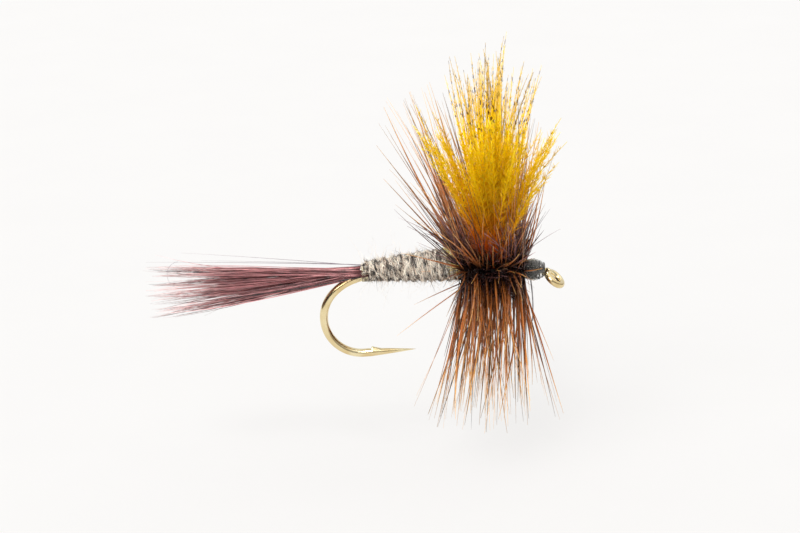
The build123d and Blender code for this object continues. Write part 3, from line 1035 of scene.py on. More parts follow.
@dataclass
class Hook:
    """The hook: one wire from the cut end of its eye, round the eye, along the shank and to the point."""

    wire: float = 0.26
    eye_wire: float = 0.21
    eye_radius: float = 0.57
    eye_drop: float = 40.0
    eye_twist: float = 12.0
    eye_crook: float = 0.25
    eye_end: float = 326.0
    neck_bend: float = 0.5
    shank_height: float = 0.634
    shank_rear: float = -11.375
    upper_bend: tuple[float, float] = (3.43, 45.5)
    lower_bend: tuple[float, float] = (2.35, 136.7)
    spear: float = 0.5
    needle: float = 2.75
    point_radius: float = 0.008
    barb_rise: float = 0.13
    barb_length: float = 0.6
    barb_half_turn: float = 0.42
    notch_depth: float = 0.05
    notch_half: float = 0.05
    notch_before_barb: float = 0.07
    burr_radius: float = 0.26
    burr_turn: float = 70.0
    burr_length: float = 0.20
    thickening: tuple[float, float] = (-1.1, -1.7)
    sides: int = 40

    def line(self) -> tuple[Array, Array]:
        """Trace the wire's middle.

        Returns:
            Points and the marking directions, which look into the bend, both (steps, 3).
        """
        drop, twist = math.radians(self.eye_drop), math.radians(self.eye_twist)
        back = np.array([-math.cos(drop), 0.0, math.sin(drop)])
        upright = np.array([math.sin(drop), 0.0, math.cos(drop)])
        normal = upright * math.cos(twist) - Y_AXIS * math.sin(twist)
        beside = np.cross(back, normal)
        join = math.asin(self.eye_crook / (self.eye_crook + self.eye_radius))
        end = math.radians(self.eye_end)
        start = self.eye_radius * (math.cos(end) * back + math.sin(end) * beside)
        heading = math.sin(end) * back - math.cos(end) * beside
        spur = WireLine(start, -heading, -normal)
        spur.turn(-unit(start), self.burr_radius, self.burr_turn, 10)
        spur.run(self.burr_length, 3)
        points = [np.concatenate(spur.points)[::-1], start[None]]
        marks = [np.concatenate(spur.marks)[::-1], -normal[None]]
        path = WireLine(start, heading, -normal, points, marks)
        path.turn(normal, self.eye_radius, self.eye_end - math.degrees(join), 80)
        path.turn(-normal, self.eye_crook, 90.0 - math.degrees(join), 14)
        neck_start = (self.eye_radius + self.eye_crook) * math.cos(join)
        corner = self.shank_height / math.sin(drop) - self.neck_bend * math.tan(drop / 2)
        path.mark = -upright
        path.run(corner - neck_start, 2)
        path.turn(-Y_AXIS, self.neck_bend, self.eye_drop, 12)
        path.run(path.point[0] - self.shank_rear, 60)
        path.turn(-Y_AXIS, *self.upper_bend, 40)
        path.turn(-Y_AXIS, *self.lower_bend, 80)
        path.run(self.spear, 12)
        path.run(self.needle, 90)
        return np.concatenate(path.points), np.concatenate(path.marks)

    def build(self, finish: GoldFinish) -> bpy.types.Object:
        """Make the wire.

        The radius grows from the eye's wire to the shank's, and falls as (1 - t)^0.8 along the
        needle. The barb adds a sliver on the inner side that rises towards the bend and then stops.

        Args:
            finish: The metal.

        Returns:
            The piece.
        """
        line, mark = self.line()
        tangent = unit(np.gradient(line, axis=0))
        mark = unit(mark - (mark * tangent).sum(-1, keepdims=True) * tangent)
        distance = distances(line)
        root = distance[-1] - self.needle
        thick = smooth(*self.thickening, line[:, 0]) + (line[:, 2] < 0) * (line[:, 0] < -2)
        radius = self.eye_wire + (self.wire - self.eye_wire) * np.clip(thick, 0, 1)
        share = np.clip((distance - root) / self.needle, 0, 1)
        radius = np.maximum(radius * (1 - share) ** 0.8, self.point_radius)
        turn = 2 * np.pi * np.arange(self.sides) / self.sides
        inner = np.exp(-((np.minimum(turn, 2 * np.pi - turn) / self.barb_half_turn) ** 2))
        sliver = np.clip(1 - (distance - root) / self.barb_length, 0, 1) * (distance >= root)
        notch = np.exp(-(((distance - root + self.notch_before_barb) / self.notch_half) ** 2))
        lift = self.barb_rise * sliver - self.notch_depth * notch
        reach = radius[:, None] + lift[:, None] * inner[None, :]
        beside = np.cross(tangent, mark)
        rings = line[:, None, :] + reach[:, :, None] * (
            np.cos(turn)[None, :, None] * mark[:, None, :] + np.sin(turn)[None, :, None] * beside[:, None, :]
        )
        piece = sleeve("hook_wire", rings, distance)
        return finish_piece(piece, finish.build(), ["hook"])


# ---- tail ------------------------------------------------------------------
@dataclass
class Tail:
    """The tail: fibres that lie in locks, each drawn to a point, under a few loose ones."""

    fibres_per_lock: int = 13
    steps: int = 12
    half_width: float = 0.044
    lock_half: float = 0.26
    seed: int = 11
    nodes: tuple[str, ...] = tuple(f"tail_fibres_{place}" for place in ("lower", "middle", "upper", "top"))
    lock_heights: tuple[float, ...] = (
        0.01, 0.06, 0.10, 0.19, 0.27, 0.33, 0.38, 0.46, 0.51, 0.56, 0.60, 0.66, 0.72, 0.76, 0.83,
    )  # fmt: skip
    loose: int = 34
    bow: float = 0.30
    sag: float = 0.25
    stray_steps: int = 22

    def extent(self) -> tuple[Array, Array]:
        """Give the lowest and highest corners of the CAD tail in millimetres."""
        boxes = np.array([box_mm(node) for node in self.nodes])
        return boxes[:, 0].min(axis=0), boxes[:, 1].max(axis=0)

    def fibres(self, layout: Layout) -> Fibres:
        """Lay out every fibre.

        A lock's middle line is straight from the shared root to its own tip, with a bow t (1 - t).
        A fibre stands off it by an offset times t (1 - t^4), so the lock opens and then closes to its
        point, plus a small t^3 part that parts the ends.

        Args:
            layout: Shared places.

        Returns:
            The fibres.
        """
        rng = np.random.default_rng(self.seed)
        low, high = self.extent()
        locks = len(self.lock_heights)
        bound = np.repeat(np.arange(locks), self.fibres_per_lock)
        lock = np.concatenate([bound, rng.integers(0, locks, self.loose)])
        count = len(lock)
        height = np.array(self.lock_heights) * (high[2] - low[2]) + low[2] + 0.08
        side = rng.uniform(-1.3, 1.3, locks)
        lock_tip = np.stack([low[0] - 0.05 + 1.5 * rng.beta(1.0, 2.4, locks), side, height], axis=-1)
        root_radius, root_angle = rng.uniform(0.24, 0.66, count), rng.uniform(-1.3, 1.3, count)
        root = layout.at(np.full(count, high[0] + 0.1), root_radius, root_angle)
        gather = root.mean(axis=0)
        t = shares(self.steps)
        spine = gather + (lock_tip[lock] - gather)[:, None, :] * t
        lock_bow = rng.normal(0, self.bow, (locks, 1, 3))[lock] * np.array([0, 1, 1]) * t * (1 - t)
        offset = rng.normal(0, self.lock_half, (count, 1, 3)) * np.array([0, 1.2, 1.0])
        loose = (np.arange(count) >= locks * self.fibres_per_lock)[:, None, None]
        parting = rng.normal(0, 0.045, (count, 1, 3)) + loose * rng.normal(0, 0.25, (count, 1, 3))
        shorter = 1 - 0.34 * rng.beta(1.0, 2.2, (count, 1, 1))
        line = (
            spine
            + (root - gather)[:, None, :] * (1 - t) ** 1.5
            + offset * t * (1 - t**4)
            + parting * t**3
            + lock_bow
            - self.sag * Z_AXIS * t * (1 - t)
        )
        line[:, :, 0:1] = line[:, :1, 0:1] + (line[:, :, 0:1] - line[:, :1, 0:1]) * shorter
        width = taper(self.steps, self.half_width * rng.uniform(0.7, 1.3, count), 0.004, 1.7)
        return Fibres(
            line=line, width=width, depth=width * 0.7,
            across=unit(rng.normal(size=(count, 3)) * np.array([0.1, 1, 1])),
            tone=np.clip(rng.random(locks)[lock] * 0.62 + rng.random(count) * 0.38, 0, 1),
            lot=np.clip(rng.random(locks)[lock] * 0.7 + rng.random(count) * 0.3, 0, 1),
        )

    def strays(self, layout: Layout) -> Fibres:
        """Fine grey fibres that lie apart along the top, and one that curls back near the tips.

        Args:
            layout: Shared places.

        Returns:
            The fibres.
        """
        low, high = self.extent()
        steps = self.stray_steps
        heights = np.array([0.93, 1.0, 0.88]) * (high[2] - low[2]) + low[2]
        t = shares(steps)
        tips = np.stack([low[0] + np.array([0.25, 2.4, 3.6]), np.array([-0.5, 0.3, 0.1]), heights], axis=-1)
        root = layout.at(np.full(3, high[0] + 0.1), np.array([0.70, 0.72, 0.68]), np.array([0.1, -0.3, 0.4]))
        line = root[:, None, :] + (tips - root)[:, None, :] * t + np.array([0, 0, 0.18]) * t * (1 - t)
        turn = (np.pi * np.linspace(0, 1.15, steps))[:, None]
        middle = np.array([low[0] + 2.3, -0.9, low[2] + 0.74 * (high[2] - low[2])])
        curl = middle + 0.75 * np.cos(turn + 1.6) * X_AXIS + 0.85 * np.sin(turn + 1.6) * Z_AXIS
        lines = np.concatenate([line, curl[None]])
        width = taper(steps, np.array([0.026, 0.024, 0.022, 0.012]), 0.006, 1.6)
        across = np.array([[0, 1.0, 0.2]] * 4)
        share = np.broadcast_to(np.linspace(0.55, 1, steps), (4, steps))
        tones = np.array([0.2, 0.35, 0.3, 0.5])
        return Fibres(lines, width, width * 0.8, across, tones, tones, along=share)

    def build(self, layout: Layout, finish: FeatherFinish, grey: FeatherFinish) -> list[bpy.types.Object]:
        """Make the tail.

        Args:
            layout: Shared places.
            finish: For the locks.
            grey: For the strays.

        Returns:
            The pieces.
        """
        return [
            finish_piece(self.fibres(layout).build("tail_fibres"), finish.build(), self.nodes),
            finish_piece(self.strays(layout).build("tail_stray_fibres"), grey.build()),
        ]


# ---- body ------------------------------------------------------------------
@dataclass
class Body:
    """The dubbed abdomen: packed fur in turns, with loose hairs lying round it and standing out."""

    rear_radius: float = 0.47
    front_radius: float = 0.96
    swell: float = 0.05
    ridge: float = 0.13
    turns: int = 11
    lying_hairs: int = 5200
    standing_hairs: int = 900
    wisps: int = 90
    over_tail: float = 0.36
    rear_drop: float = 0.29
    front_drop: float = 0.04
    waist: float = 0.14
    waist_end: float = 0.05
    seed: int = 23

    def measure(self, layout: Layout) -> None:
        """Take the body's ends and its sloping axis from the CAD body.

        Args:
            layout: Shared places.
        """
        low, high = layout.body
        self.rear = float(low[0]) - self.over_tail
        self.front = float(high[0]) - 0.02
        self.rear_height = float(high[2] - self.front_radius - self.rear_drop)
        self.front_height = float(high[2] - self.front_radius - self.front_drop)

    def radius(self, share: Array, around: Array) -> Array:
        """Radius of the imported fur: the taper, plus ridge times |sin| of the winding's phase.

        Args:
            share: Share of the body's length.
            around: Angle round it.

        Returns:
            The radii.
        """
        inside = np.clip(share, 0, 1)
        cone = self.rear_radius + (self.front_radius - self.rear_radius) * share
        cone = cone - self.waist * np.exp(-((inside / self.waist_end) ** 2))
        phase = np.pi * (self.turns * share - around / (2 * np.pi))
        return cone + self.swell * np.sin(np.pi * inside) + self.ridge * (np.abs(np.sin(phase)) - 0.6)

    def point(self, share: Array, around: Array, lift: Array) -> Array:
        """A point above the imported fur's surface, at a share of the body's length and an angle.

        Args:
            share: Share of the body's length.
            around: Angle round it.
            lift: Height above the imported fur.

        Returns:
            Points of shape (..., 3).
        """
        reach = self.radius(share, around) + lift
        height = self.rear_height + (self.front_height - self.rear_height) * share
        return np.stack(
            [
                self.rear + (self.front - self.rear) * share, reach * np.sin(around),
                height + reach * np.cos(around),
            ],
            axis=-1,
        )

    def core(self) -> bpy.types.Object:
        """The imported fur: radius(share, angle) plus two random fields, closed to a point at each end.

        Returns:
            The surface.
        """
        share, around = np.meshgrid(np.linspace(0, 1, 260), 2 * np.pi * np.arange(72) / 72, indexing="ij")
        surface_points = self.point(share, around, np.zeros_like(share))
        rough = 0.05 * sway(surface_points, 0.5, 5) + 0.03 * sway(surface_points, 0.2, 6)
        ends = smooth(0.0, 0.03, share) * smooth(0.0, 0.03, 1 - share)
        lift = rough * ends - (1 - ends) * self.radius(share, around) * 0.75
        return sleeve("body_packed_fur", self.point(share, around, lift)[:, ::-1], np.linspace(0, 1, 260))

    def shade(self, points: Array, rng: np.random.Generator) -> Array:
        """Tone of hairs rooted at these points: broad dark and pale patches plus a tone of each hair.

        Args:
            points: The hairs' roots.
            rng: Random numbers.

        Returns:
            A tone from 0 to 1 for each.
        """
        leaning = points @ np.array([[1.0, 0.0, 0.0], [0.0, 0.30, 0.0], [-0.35, 0.0, 0.30]])
        dashes = 1.15 * sway(leaning, 0.19, 9) + 0.45 * sway(leaning, 0.10, 12) + 0.14 * sway(points, 1.0, 10)
        spot = np.array([self.rear + 0.62, -0.45, self.rear_height + 0.22])
        dark_spot = 1.6 * np.exp(-((np.linalg.norm(points - spot, axis=1) / 0.19) ** 2))
        return np.clip(0.43 + dashes + dark_spot + rng.normal(0, 0.12, len(points)), 0.0, 1.0)

    def lying(self) -> Fibres:
        """Hairs caught in the winding: they run round the body, with a small drift along it.

        Returns:
            The fibres.
        """
        rng = np.random.default_rng(self.seed)
        count, steps = self.lying_hairs, 6
        t = np.linspace(0, 1, steps)[None, :]
        share = rng.uniform(0.0, 1.0, count)[:, None]
        start = rng.uniform(0, 2 * np.pi, count)[:, None]
        sweep = (rng.uniform(0.25, 1.0, count) * rng.choice([-1, 1], count, p=[0.3, 0.7]))[:, None]
        drift = rng.normal(0.022, 0.022, count)[:, None] * np.sign(-sweep)
        arch = rng.uniform(0.0, 0.10, count)[:, None]
        end_lift = (rng.beta(1.0, 3.0, count) * 0.30)[:, None]
        around = start + sweep * t + rng.normal(0, 0.08, (count, 1)) * np.sin(5 * t + start)
        lift = arch * np.sin(np.pi * t) + end_lift * t**3 + 0.005
        line = self.point(np.clip(share + drift * t, -0.005, 1.01), around, lift)
        root = rng.uniform(0.013, 0.026, count)
        across = np.broadcast_to(X_AXIS, (count, 3))
        return round_hairs(line, root, 0.003, 2.0, across, self.shade(line[:, 2], rng), rng)

    def standing(self) -> Fibres:
        """Guard hairs and picked-out fur: straight, tapered, raked back and standing off the body.

        Returns:
            The fibres.
        """
        rng = np.random.default_rng(self.seed + 1)
        count, steps = self.standing_hairs, 5
        share = rng.uniform(0.0, 1.0, count)
        around = rng.uniform(0, 2 * np.pi, count)
        root = self.point(share, around, np.full(count, -0.05))
        out = outward(around)
        beside = np.cross(X_AXIS, out) * rng.normal(0.35, 0.6, (count, 1))
        upward = out * rng.uniform(0.25, 1.0, (count, 1))
        way = unit(upward + beside + X_AXIS * rng.normal(-0.1, 0.55, (count, 1)))
        length = 0.22 + 0.75 * rng.beta(1.2, 3.4, count)
        t = shares(steps)
        bend = rng.normal(0, 0.22, (count, 1, 3)) * length[:, None, None]
        thick = rng.uniform(0.009, 0.020, count)
        line = root[:, None, :] + way[:, None, :] * length[:, None, None] * t + bend * t * t
        across = unit(np.cross(way, X_AXIS + 0.01))
        return round_hairs(line, thick, 0.002, 1.6, across, self.shade(root, rng), rng)

    def fine(self) -> Fibres:
        """A few long, fine, curling wisps of underfur, paler than the rest.

        Returns:
            The fibres.
        """
        rng = np.random.default_rng(self.seed + 2)
        count, steps = self.wisps, 14
        share = rng.uniform(0.0, 1.0, count)
        around = rng.uniform(0, 2 * np.pi, count)
        root = self.point(share, around, np.full(count, -0.03))
        way = unit(outward(around) + rng.normal(0, 0.6, (count, 3)))
        length = rng.uniform(0.8, 2.4, count)[:, None, None]
        t = shares(steps)
        curl = rng.normal(0, 0.16, (count, 1, 3))
        curl = curl * np.sin(t * rng.uniform(3, 8, (count, 1, 1)) + share[:, None, None] * 9)
        thick = rng.uniform(0.004, 0.006, count)
        line = root[:, None, :] + way[:, None, :] * length * t + curl * length * t
        across = unit(np.cross(way, X_AXIS + 0.01))
        return round_hairs(line, thick, 0.002, 2.0, across, rng.uniform(0.0, 0.4, count), rng)

    def build(self, layout: Layout, felt: FeltedFurFinish, hair: FurFinish) -> list[bpy.types.Object]:
        """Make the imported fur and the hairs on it.

        Args:
            layout: Shared places.
            felt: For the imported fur.
            hair: For the hairs.

        Returns:
            The pieces.
        """
        self.measure(layout)
        hair_material = hair.build()
        return [
            finish_piece(self.core(), felt.build(), ["dubbed_body"]),
            finish_piece(self.lying().build("body_lying_fur"), hair_material),
            finish_piece(self.standing().build("body_guard_hairs"), hair_material),
            finish_piece(self.fine().build("body_wisps"), hair_material),
        ]


# ---- wings -----------------------------------------------------------------
@dataclass(frozen=True)
class Lock:
    """A part of a wing whose fibres lie together: its share of them, middle angle, half angle and length."""

    share: float
    middle: float
    half: float
    length: float


@dataclass
class Wing:
    """One wing: a bunch of flank feather fibres gathered at its foot, with barbules along each."""

    side: Side
    fibres: int
    locks: tuple[Lock, ...]
    barbules: int
    barbule_length: float
    barbule_half_width: float
    layer_spread: float = 3.5
    lean: float = 34.0
    steps: int = 12
    half_width: float = 0.036
    tip_half_width: float = 0.014
    uneven: float = 0.2
    fan_power: float = 1.45
    foot_height: float = 0.35
    foot_out: float = 0.30
    foot_half: float = 0.40
    wrap_turns: float = 5.3
    wrap_climb: float = 0.42
    wrap_half: tuple[float, float] = (0.50, 0.27)
    seed: int = 31

    def axis(self) -> Array:
        """Give the direction that the wing stands in."""
        lean = math.radians(self.lean)
        return np.array([0.0, self.side.value * math.sin(lean), math.cos(lean)])

    def spine(self, layout: Layout) -> tuple[Array, Array, Array, Array]:
        """Lay out the fibres' middle lines.

        A fibre leaves the foot along the wing's own axis and fans out as t^1.45.

        Args:
            layout: Shared places.

        Returns:
            Lines (count, steps, 3), the wing's flat direction, each fibre's tone and its fan share.
        """
        rng = np.random.default_rng(self.seed)
        low, high = box_mm(f"{self.side.name.lower()}_wing_post_wraps")
        foot_x = float(low[0] + high[0]) / 2
        axis, flat = self.axis(), X_AXIS
        count = self.fibres
        table = np.array([(lock.share, lock.middle, lock.half, lock.length) for lock in self.locks])
        chosen = rng.choice(len(table), count, p=table[:, 0] / table[:, 0].sum())
        within = rng.uniform(-1, 1, count)
        fan_degrees = table[chosen, 1] + table[chosen, 2] * within
        share = np.clip(fan_degrees / np.abs(fan_degrees).max(), -1, 1)
        layer = rng.normal(0, 1, count)
        root = (
            np.array([foot_x, 0.0, layout.shank_height + self.foot_height])
            + flat * (self.foot_half * share + rng.normal(0, 0.05, count))[:, None]
            + axis * rng.uniform(0, 0.1, count)[:, None]
            + np.array([0, self.side.value * self.foot_out, 0])
            + np.cross(flat, axis) * (0.10 * layer)[:, None]
        )
        fan = np.radians(fan_degrees)
        tilt = np.radians(self.layer_spread * layer)
        length = table[chosen, 3] * (1.0 - 0.07 * within**2) * (1 - self.uneven * rng.beta(1.1, 2.6, count))
        t = shares(self.steps)
        sideways = flat * np.tan(fan)[:, None] + np.cross(flat, axis) * np.tan(tilt)[:, None]
        bow = rng.normal(0, 0.018, (count, 1, 3)) * t * (1 - t) * 4
        reach = axis * t + sideways[:, None, :] * t**self.fan_power + bow
        line = root[:, None, :] + length[:, None, None] * reach
        return line, flat, rng.random(count), share

    def shafts(self, layout: Layout) -> Fibres:
        """The fibres themselves, flat across the wing.

        Args:
            layout: Shared places.

        Returns:
            The fibres.
        """
        line, flat, tone, share = self.spine(layout)
        rng = np.random.default_rng(self.seed + 1)
        root_width = self.half_width * rng.uniform(0.8, 1.25, self.fibres)
        width = taper(self.steps, root_width, self.tip_half_width, 2.2)
        return Fibres(
            line=line, width=width, depth=width * 0.6, across=np.broadcast_to(flat, (self.fibres, 3)),
            tone=tone, lot=np.abs(share),
        )

    def barbule_fibres(self, layout: Layout) -> Fibres:
        """Barbules: short hairs that leave each fibre at a slant on both of its edges.

        Their length falls as the square root of the distance left to the fibre's tip.

        Args:
            layout: Shared places.

        Returns:
            The fibres.
        """
        line, flat, tone, _ = self.spine(layout)
        rng = np.random.default_rng(self.seed + 2)
        host = np.repeat(np.arange(self.fibres), self.barbules)
        count, steps = len(host), 3
        place = rng.uniform(0.10, 0.95, count) * (self.steps - 1)
        lower = np.minimum(place.astype(int), self.steps - 2)
        part = (place - lower)[:, None]
        root = line[host, lower] * (1 - part) + line[host, lower + 1] * part
        tangent = unit(line[host, lower + 1] - line[host, lower])
        edge = rng.choice([-1.0, 1.0], count)[:, None]
        slant = np.radians(rng.normal(36, 11, count))[:, None]
        normal = np.cross(tangent, flat)
        way = unit(
            tangent * np.cos(slant) + flat * edge * np.sin(slant) + normal * rng.normal(0, 0.30, (count, 1))
        )
        share = place / (self.steps - 1)
        length = self.barbule_length * np.sqrt(1.02 - share) * rng.uniform(0.6, 1.2, count)
        t = shares(steps)
        curl = tangent[:, None, :] * 0.35 * t * t
        thick = self.barbule_half_width * rng.uniform(0.7, 1.3, count)
        along = np.broadcast_to(share[:, None], (count, steps)) + np.linspace(0, 0.03, steps)[None, :]
        return Fibres(
            line=grow(root, length, way, t, curl), width=taper(steps, thick, 0.004, 1.2),
            depth=taper(steps, thick, 0.004, 1.2), across=normal, tone=tone[host], lot=rng.random(count),
            along=np.clip(along, 0, 1), sides=3,
        )

    def foot_wraps(self) -> bpy.types.Object:
        """Thread wound round the wing's foot: an oval helix about the wing's own axis.

        Returns:
            The piece.
        """
        side = self.side.name.lower()
        low, high = box_mm(f"{side}_wing_post_wraps")
        axis = self.axis()
        across = np.cross(axis, X_AXIS)
        w = np.linspace(0, 1, 240)[:, None]
        angle = 2 * np.pi * self.wrap_turns * w
        oval = X_AXIS * self.wrap_half[0] * np.cos(angle)
        climb = axis * (w - 0.5) * self.wrap_climb
        line = (low + high) / 2 + climb + oval + across * self.wrap_half[1] * np.sin(angle)
        thick = np.full(len(w), BINDING_HALF)
        return tube(f"{side}_wing_thread", line, np.broadcast_to(axis, line.shape), thick, thick * 0.8)

    def build(
        self, layout: Layout, finish: FeatherFinish, thread: bpy.types.Material
    ) -> list[bpy.types.Object]:
        """Make the wing, its barbules and the thread at its foot.

        Args:
            layout: Shared places.
            finish: For the fibres and barbules.
            thread: For the thread.

        Returns:
            The pieces.
        """
        side = self.side.name.lower()
        material = finish.build()
        shafts = self.shafts(layout).build(f"{side}_wing_fibres")
        return [
            finish_piece(shafts, material, [f"{side}_wing"]),
            finish_piece(self.barbule_fibres(layout).build(f"{side}_wing_barbules"), material),
            finish_piece(self.foot_wraps(), thread, [f"{side}_wing_post_wraps"]),
        ]


@dataclass
class WingButtEnds:
    """Trimmed ends of the wing fibres that show where the body meets the hackle."""

    count: int = 150
    seed: int = 71

    def build(self, body: Body, finish: FeatherFinish) -> bpy.types.Object:
        """Make the short blunt ends: each lies back over the front of the body and lifts at its end.

        Args:
            body: The body that they lie on.
            finish: Their finish.

        Returns:
            The piece.
        """
        rng = np.random.default_rng(self.seed)
        steps = 5
        t = np.linspace(0, 1, steps)[None, :]
        around = rng.normal(-0.35, 0.75, self.count)[:, None]
        share = 1.02 - rng.uniform(0.06, 0.17, self.count)[:, None] * t
        lift = 0.02 + rng.uniform(0.02, 0.16, self.count)[:, None] * t
        line = body.point(share, around + rng.normal(0, 0.16, self.count)[:, None] * t, lift)
        thick = rng.uniform(0.020, 0.036, self.count)
        fibres = Fibres(
            line=line, width=taper(steps, thick, 0.012, 2.0), depth=taper(steps, thick * 0.7, 0.010, 2.0),
            across=np.broadcast_to(Y_AXIS + 0.1, (self.count, 3)), tone=rng.random(self.count),
            lot=rng.random(self.count),
        )
        return finish_piece(fibres.build("wing_butt_ends"), finish.build())


# ---- hackle ----------------------------------------------------------------
@dataclass
class Hackle:
    """One wound feather: its quill in touching turns, the barbs standing out and the web at their roots."""

    name: str
    lean_above: float
    lean_below: float
    barbs: int
    seed: int
    web: int = 380
    reach_above: float = 10.0
    reach_below: float = 9.5
    overrun: tuple[float, float] = (0.0, 0.0)
    half_width: float = 0.062
    lean_limits: tuple[float, float] = (-38.0, 22.0)
    turn_lean: float = 10.0
    spread: float = 8.0
    web_spread: float = 18.0
    splay: float = 8.0
    steps: int = 10

    def span(self, layout: Layout) -> tuple[float, float, float]:
        """The quill's rear, front and outer radius, from the CAD quill."""
        low, high = layout.rear_stem if self.name == "rear" else layout.front_stem
        return float(low[0]), float(high[0]), float(high[2] - low[2]) / 2

    def directions(
        self, layout: Layout, count: int, spread: float, rng: np.random.Generator
    ) -> tuple[Array, Array, Array, Array]:
        """Choose where fibres leave the quill and which way they point.

        The lean along the shank passes from one value below the shank to another above it, and grows
        from the rear turn to the front one; the splay tips a fibre sideways round the shank.

        Args:
            layout: Shared places.
            count: How many fibres.
            spread: Random part of the lean in degrees.
            rng: Random numbers.

        Returns:
            Roots, unit directions, lean in degrees and how far up each points, -1 to 1.
        """
        rear, front, radius = self.span(layout)
        share = (np.arange(count) + rng.random(count)) / count
        around = rng.uniform(-np.pi, np.pi, count)
        up = np.cos(around)
        lean = self.lean_below + (self.lean_above - self.lean_below) * smooth(-0.5, 0.6, up)
        lean = lean + self.turn_lean * (share - 0.5) + rng.normal(0, spread, count)
        lean = np.clip(lean, *self.lean_limits) * (0.06 + 0.94 * np.abs(up))
        tip = np.radians(lean)
        side = np.radians(rng.normal(0, self.splay, count))
        beside = np.stack([np.zeros(count), np.cos(around), -np.sin(around)], axis=-1)
        way = unit(
            outward(around) * (np.cos(tip) * np.cos(side))[:, None]
            + X_AXIS * np.sin(tip)[:, None]
            + beside * np.sin(side)[:, None]
        )
        rear, front = rear + self.overrun[0], front + self.overrun[1]
        root = layout.at(rear + (front - rear) * share, np.full(count, radius - 0.08), around)
        return root, way, lean, up

    def barb_fibres(self, layout: Layout) -> Fibres:
        """The barbs: nearly straight, drawn into loose clumps and curving a little towards the tail.

        Args:
            layout: Shared places.

        Returns:
            The fibres.
        """
        rng = np.random.default_rng(self.seed)
        count = self.barbs
        root, way, lean, up = self.directions(layout, count, self.spread, rng)
        reach = self.reach_below + (self.reach_above - self.reach_below) * smooth(0.0, 0.8, up)
        reach = reach * (1 - 0.4 * smooth(27.0, 42.0, np.abs(lean)))
        length = reach * (1 - 0.34 * rng.beta(1.1, 2.6, count))
        heads = way[rng.choice(count, count // 5, replace=False)]
        nearest = heads[np.argmax(way @ heads.T, axis=1)]
        pull = (nearest - way) * rng.uniform(0.0, 0.8, (count, 1))
        curve = -X_AXIS * rng.normal(0.02, 0.03, (count, 1)) + rng.normal(0, 0.022, (count, 3))
        t = shares(self.steps)
        line = root[:, None, :] + length[:, None, None] * (
            way[:, None, :] * t + pull[:, None, :] * t * t * 0.8 + curve[:, None, :] * t**2
        )
        width = taper(self.steps, self.half_width * rng.uniform(0.6, 1.35, count), 0.008, 1.35)
        return Fibres(
            line=line, width=width, depth=width * 0.55, across=unit(rng.normal(size=(count, 3))),
            # lot follows how far up a barb points, so the hackle finish's raised colour paints the upper
            # barbs paler: a painted sheen from the light above.
            tone=rng.random(count), lot=np.clip(0.5 + 0.5 * up + rng.normal(0, 0.12, count), 0, 1),
        )

    def web_fibres(self, layout: Layout) -> Fibres:
        """The web: short dark downy fibres that fill the middle of the hackle.

        Args:
            layout: Shared places.

        Returns:
            The fibres.
        """
        rng = np.random.default_rng(self.seed + 1)
        count, steps = self.web, 6
        root, way, _, up = self.directions(layout, count, self.web_spread, rng)
        way = unit(way + rng.normal(0, 0.16, (count, 3)))
        length = 0.8 + 2.9 * rng.beta(1.3, 2.6, count)
        t = shares(steps)
        bend = rng.normal(0, 0.14, (count, 1, 3)) * t * t
        width = taper(steps, rng.uniform(0.030, 0.062, count), 0.004, 1.3)
        return Fibres(
            line=grow(root, length, way, t, bend), width=width, depth=width * 0.6,
            across=unit(rng.normal(size=(count, 3))), tone=rng.random(count),
            lot=np.clip(0.5 + 0.5 * up, 0, 1),
            along=np.broadcast_to(np.linspace(0, 0.3, steps), (count, steps)),
        )

    def quill(self, layout: Layout) -> bpy.types.Object:
        """The quill: a helix of touching turns that thins towards the feather's tip.

        Args:
            layout: Shared places.

        Returns:
            The piece.
        """
        rear, front, radius = self.span(layout)
        steps = 260
        w = np.linspace(0, 1, steps)
        half = 0.115 - 0.035 * w
        line, across = winding(layout, rear + 0.1 + (front - rear - 0.2) * w, radius - half, 5.2)
        return tube(f"{self.name}_hackle_quill", line, across, half, half * 0.85, sides=10)

    def build(
        self, layout: Layout, barb: bpy.types.Material, web: bpy.types.Material, quill: bpy.types.Material
    ) -> list[bpy.types.Object]:
        """Make the quill, the barbs and the web.

        Args:
            layout: Shared places.
            barb: For the barbs.
            web: For the web.
            quill: For the quill.

        Returns:
            The pieces.
        """
        barbs = self.barb_fibres(layout).build(f"{self.name}_hackle_long_barbs")
        downy = self.web_fibres(layout).build(f"{self.name}_hackle_web")
        return [
            finish_piece(barbs, barb, [f"{self.name}_hackle_barbs"]),
            finish_piece(downy, web),
            finish_piece(self.quill(layout), quill, [f"{self.name}_hackle_stem"]),
        ]


@dataclass(frozen=True)
class Fringe:
    """A tuft of longer down on one side: where it is rooted, how it leans and how long it is."""

    count: int
    roots: tuple[float, float]
    lean: float
    lengths: tuple[float, float]
    side: float = -1.0


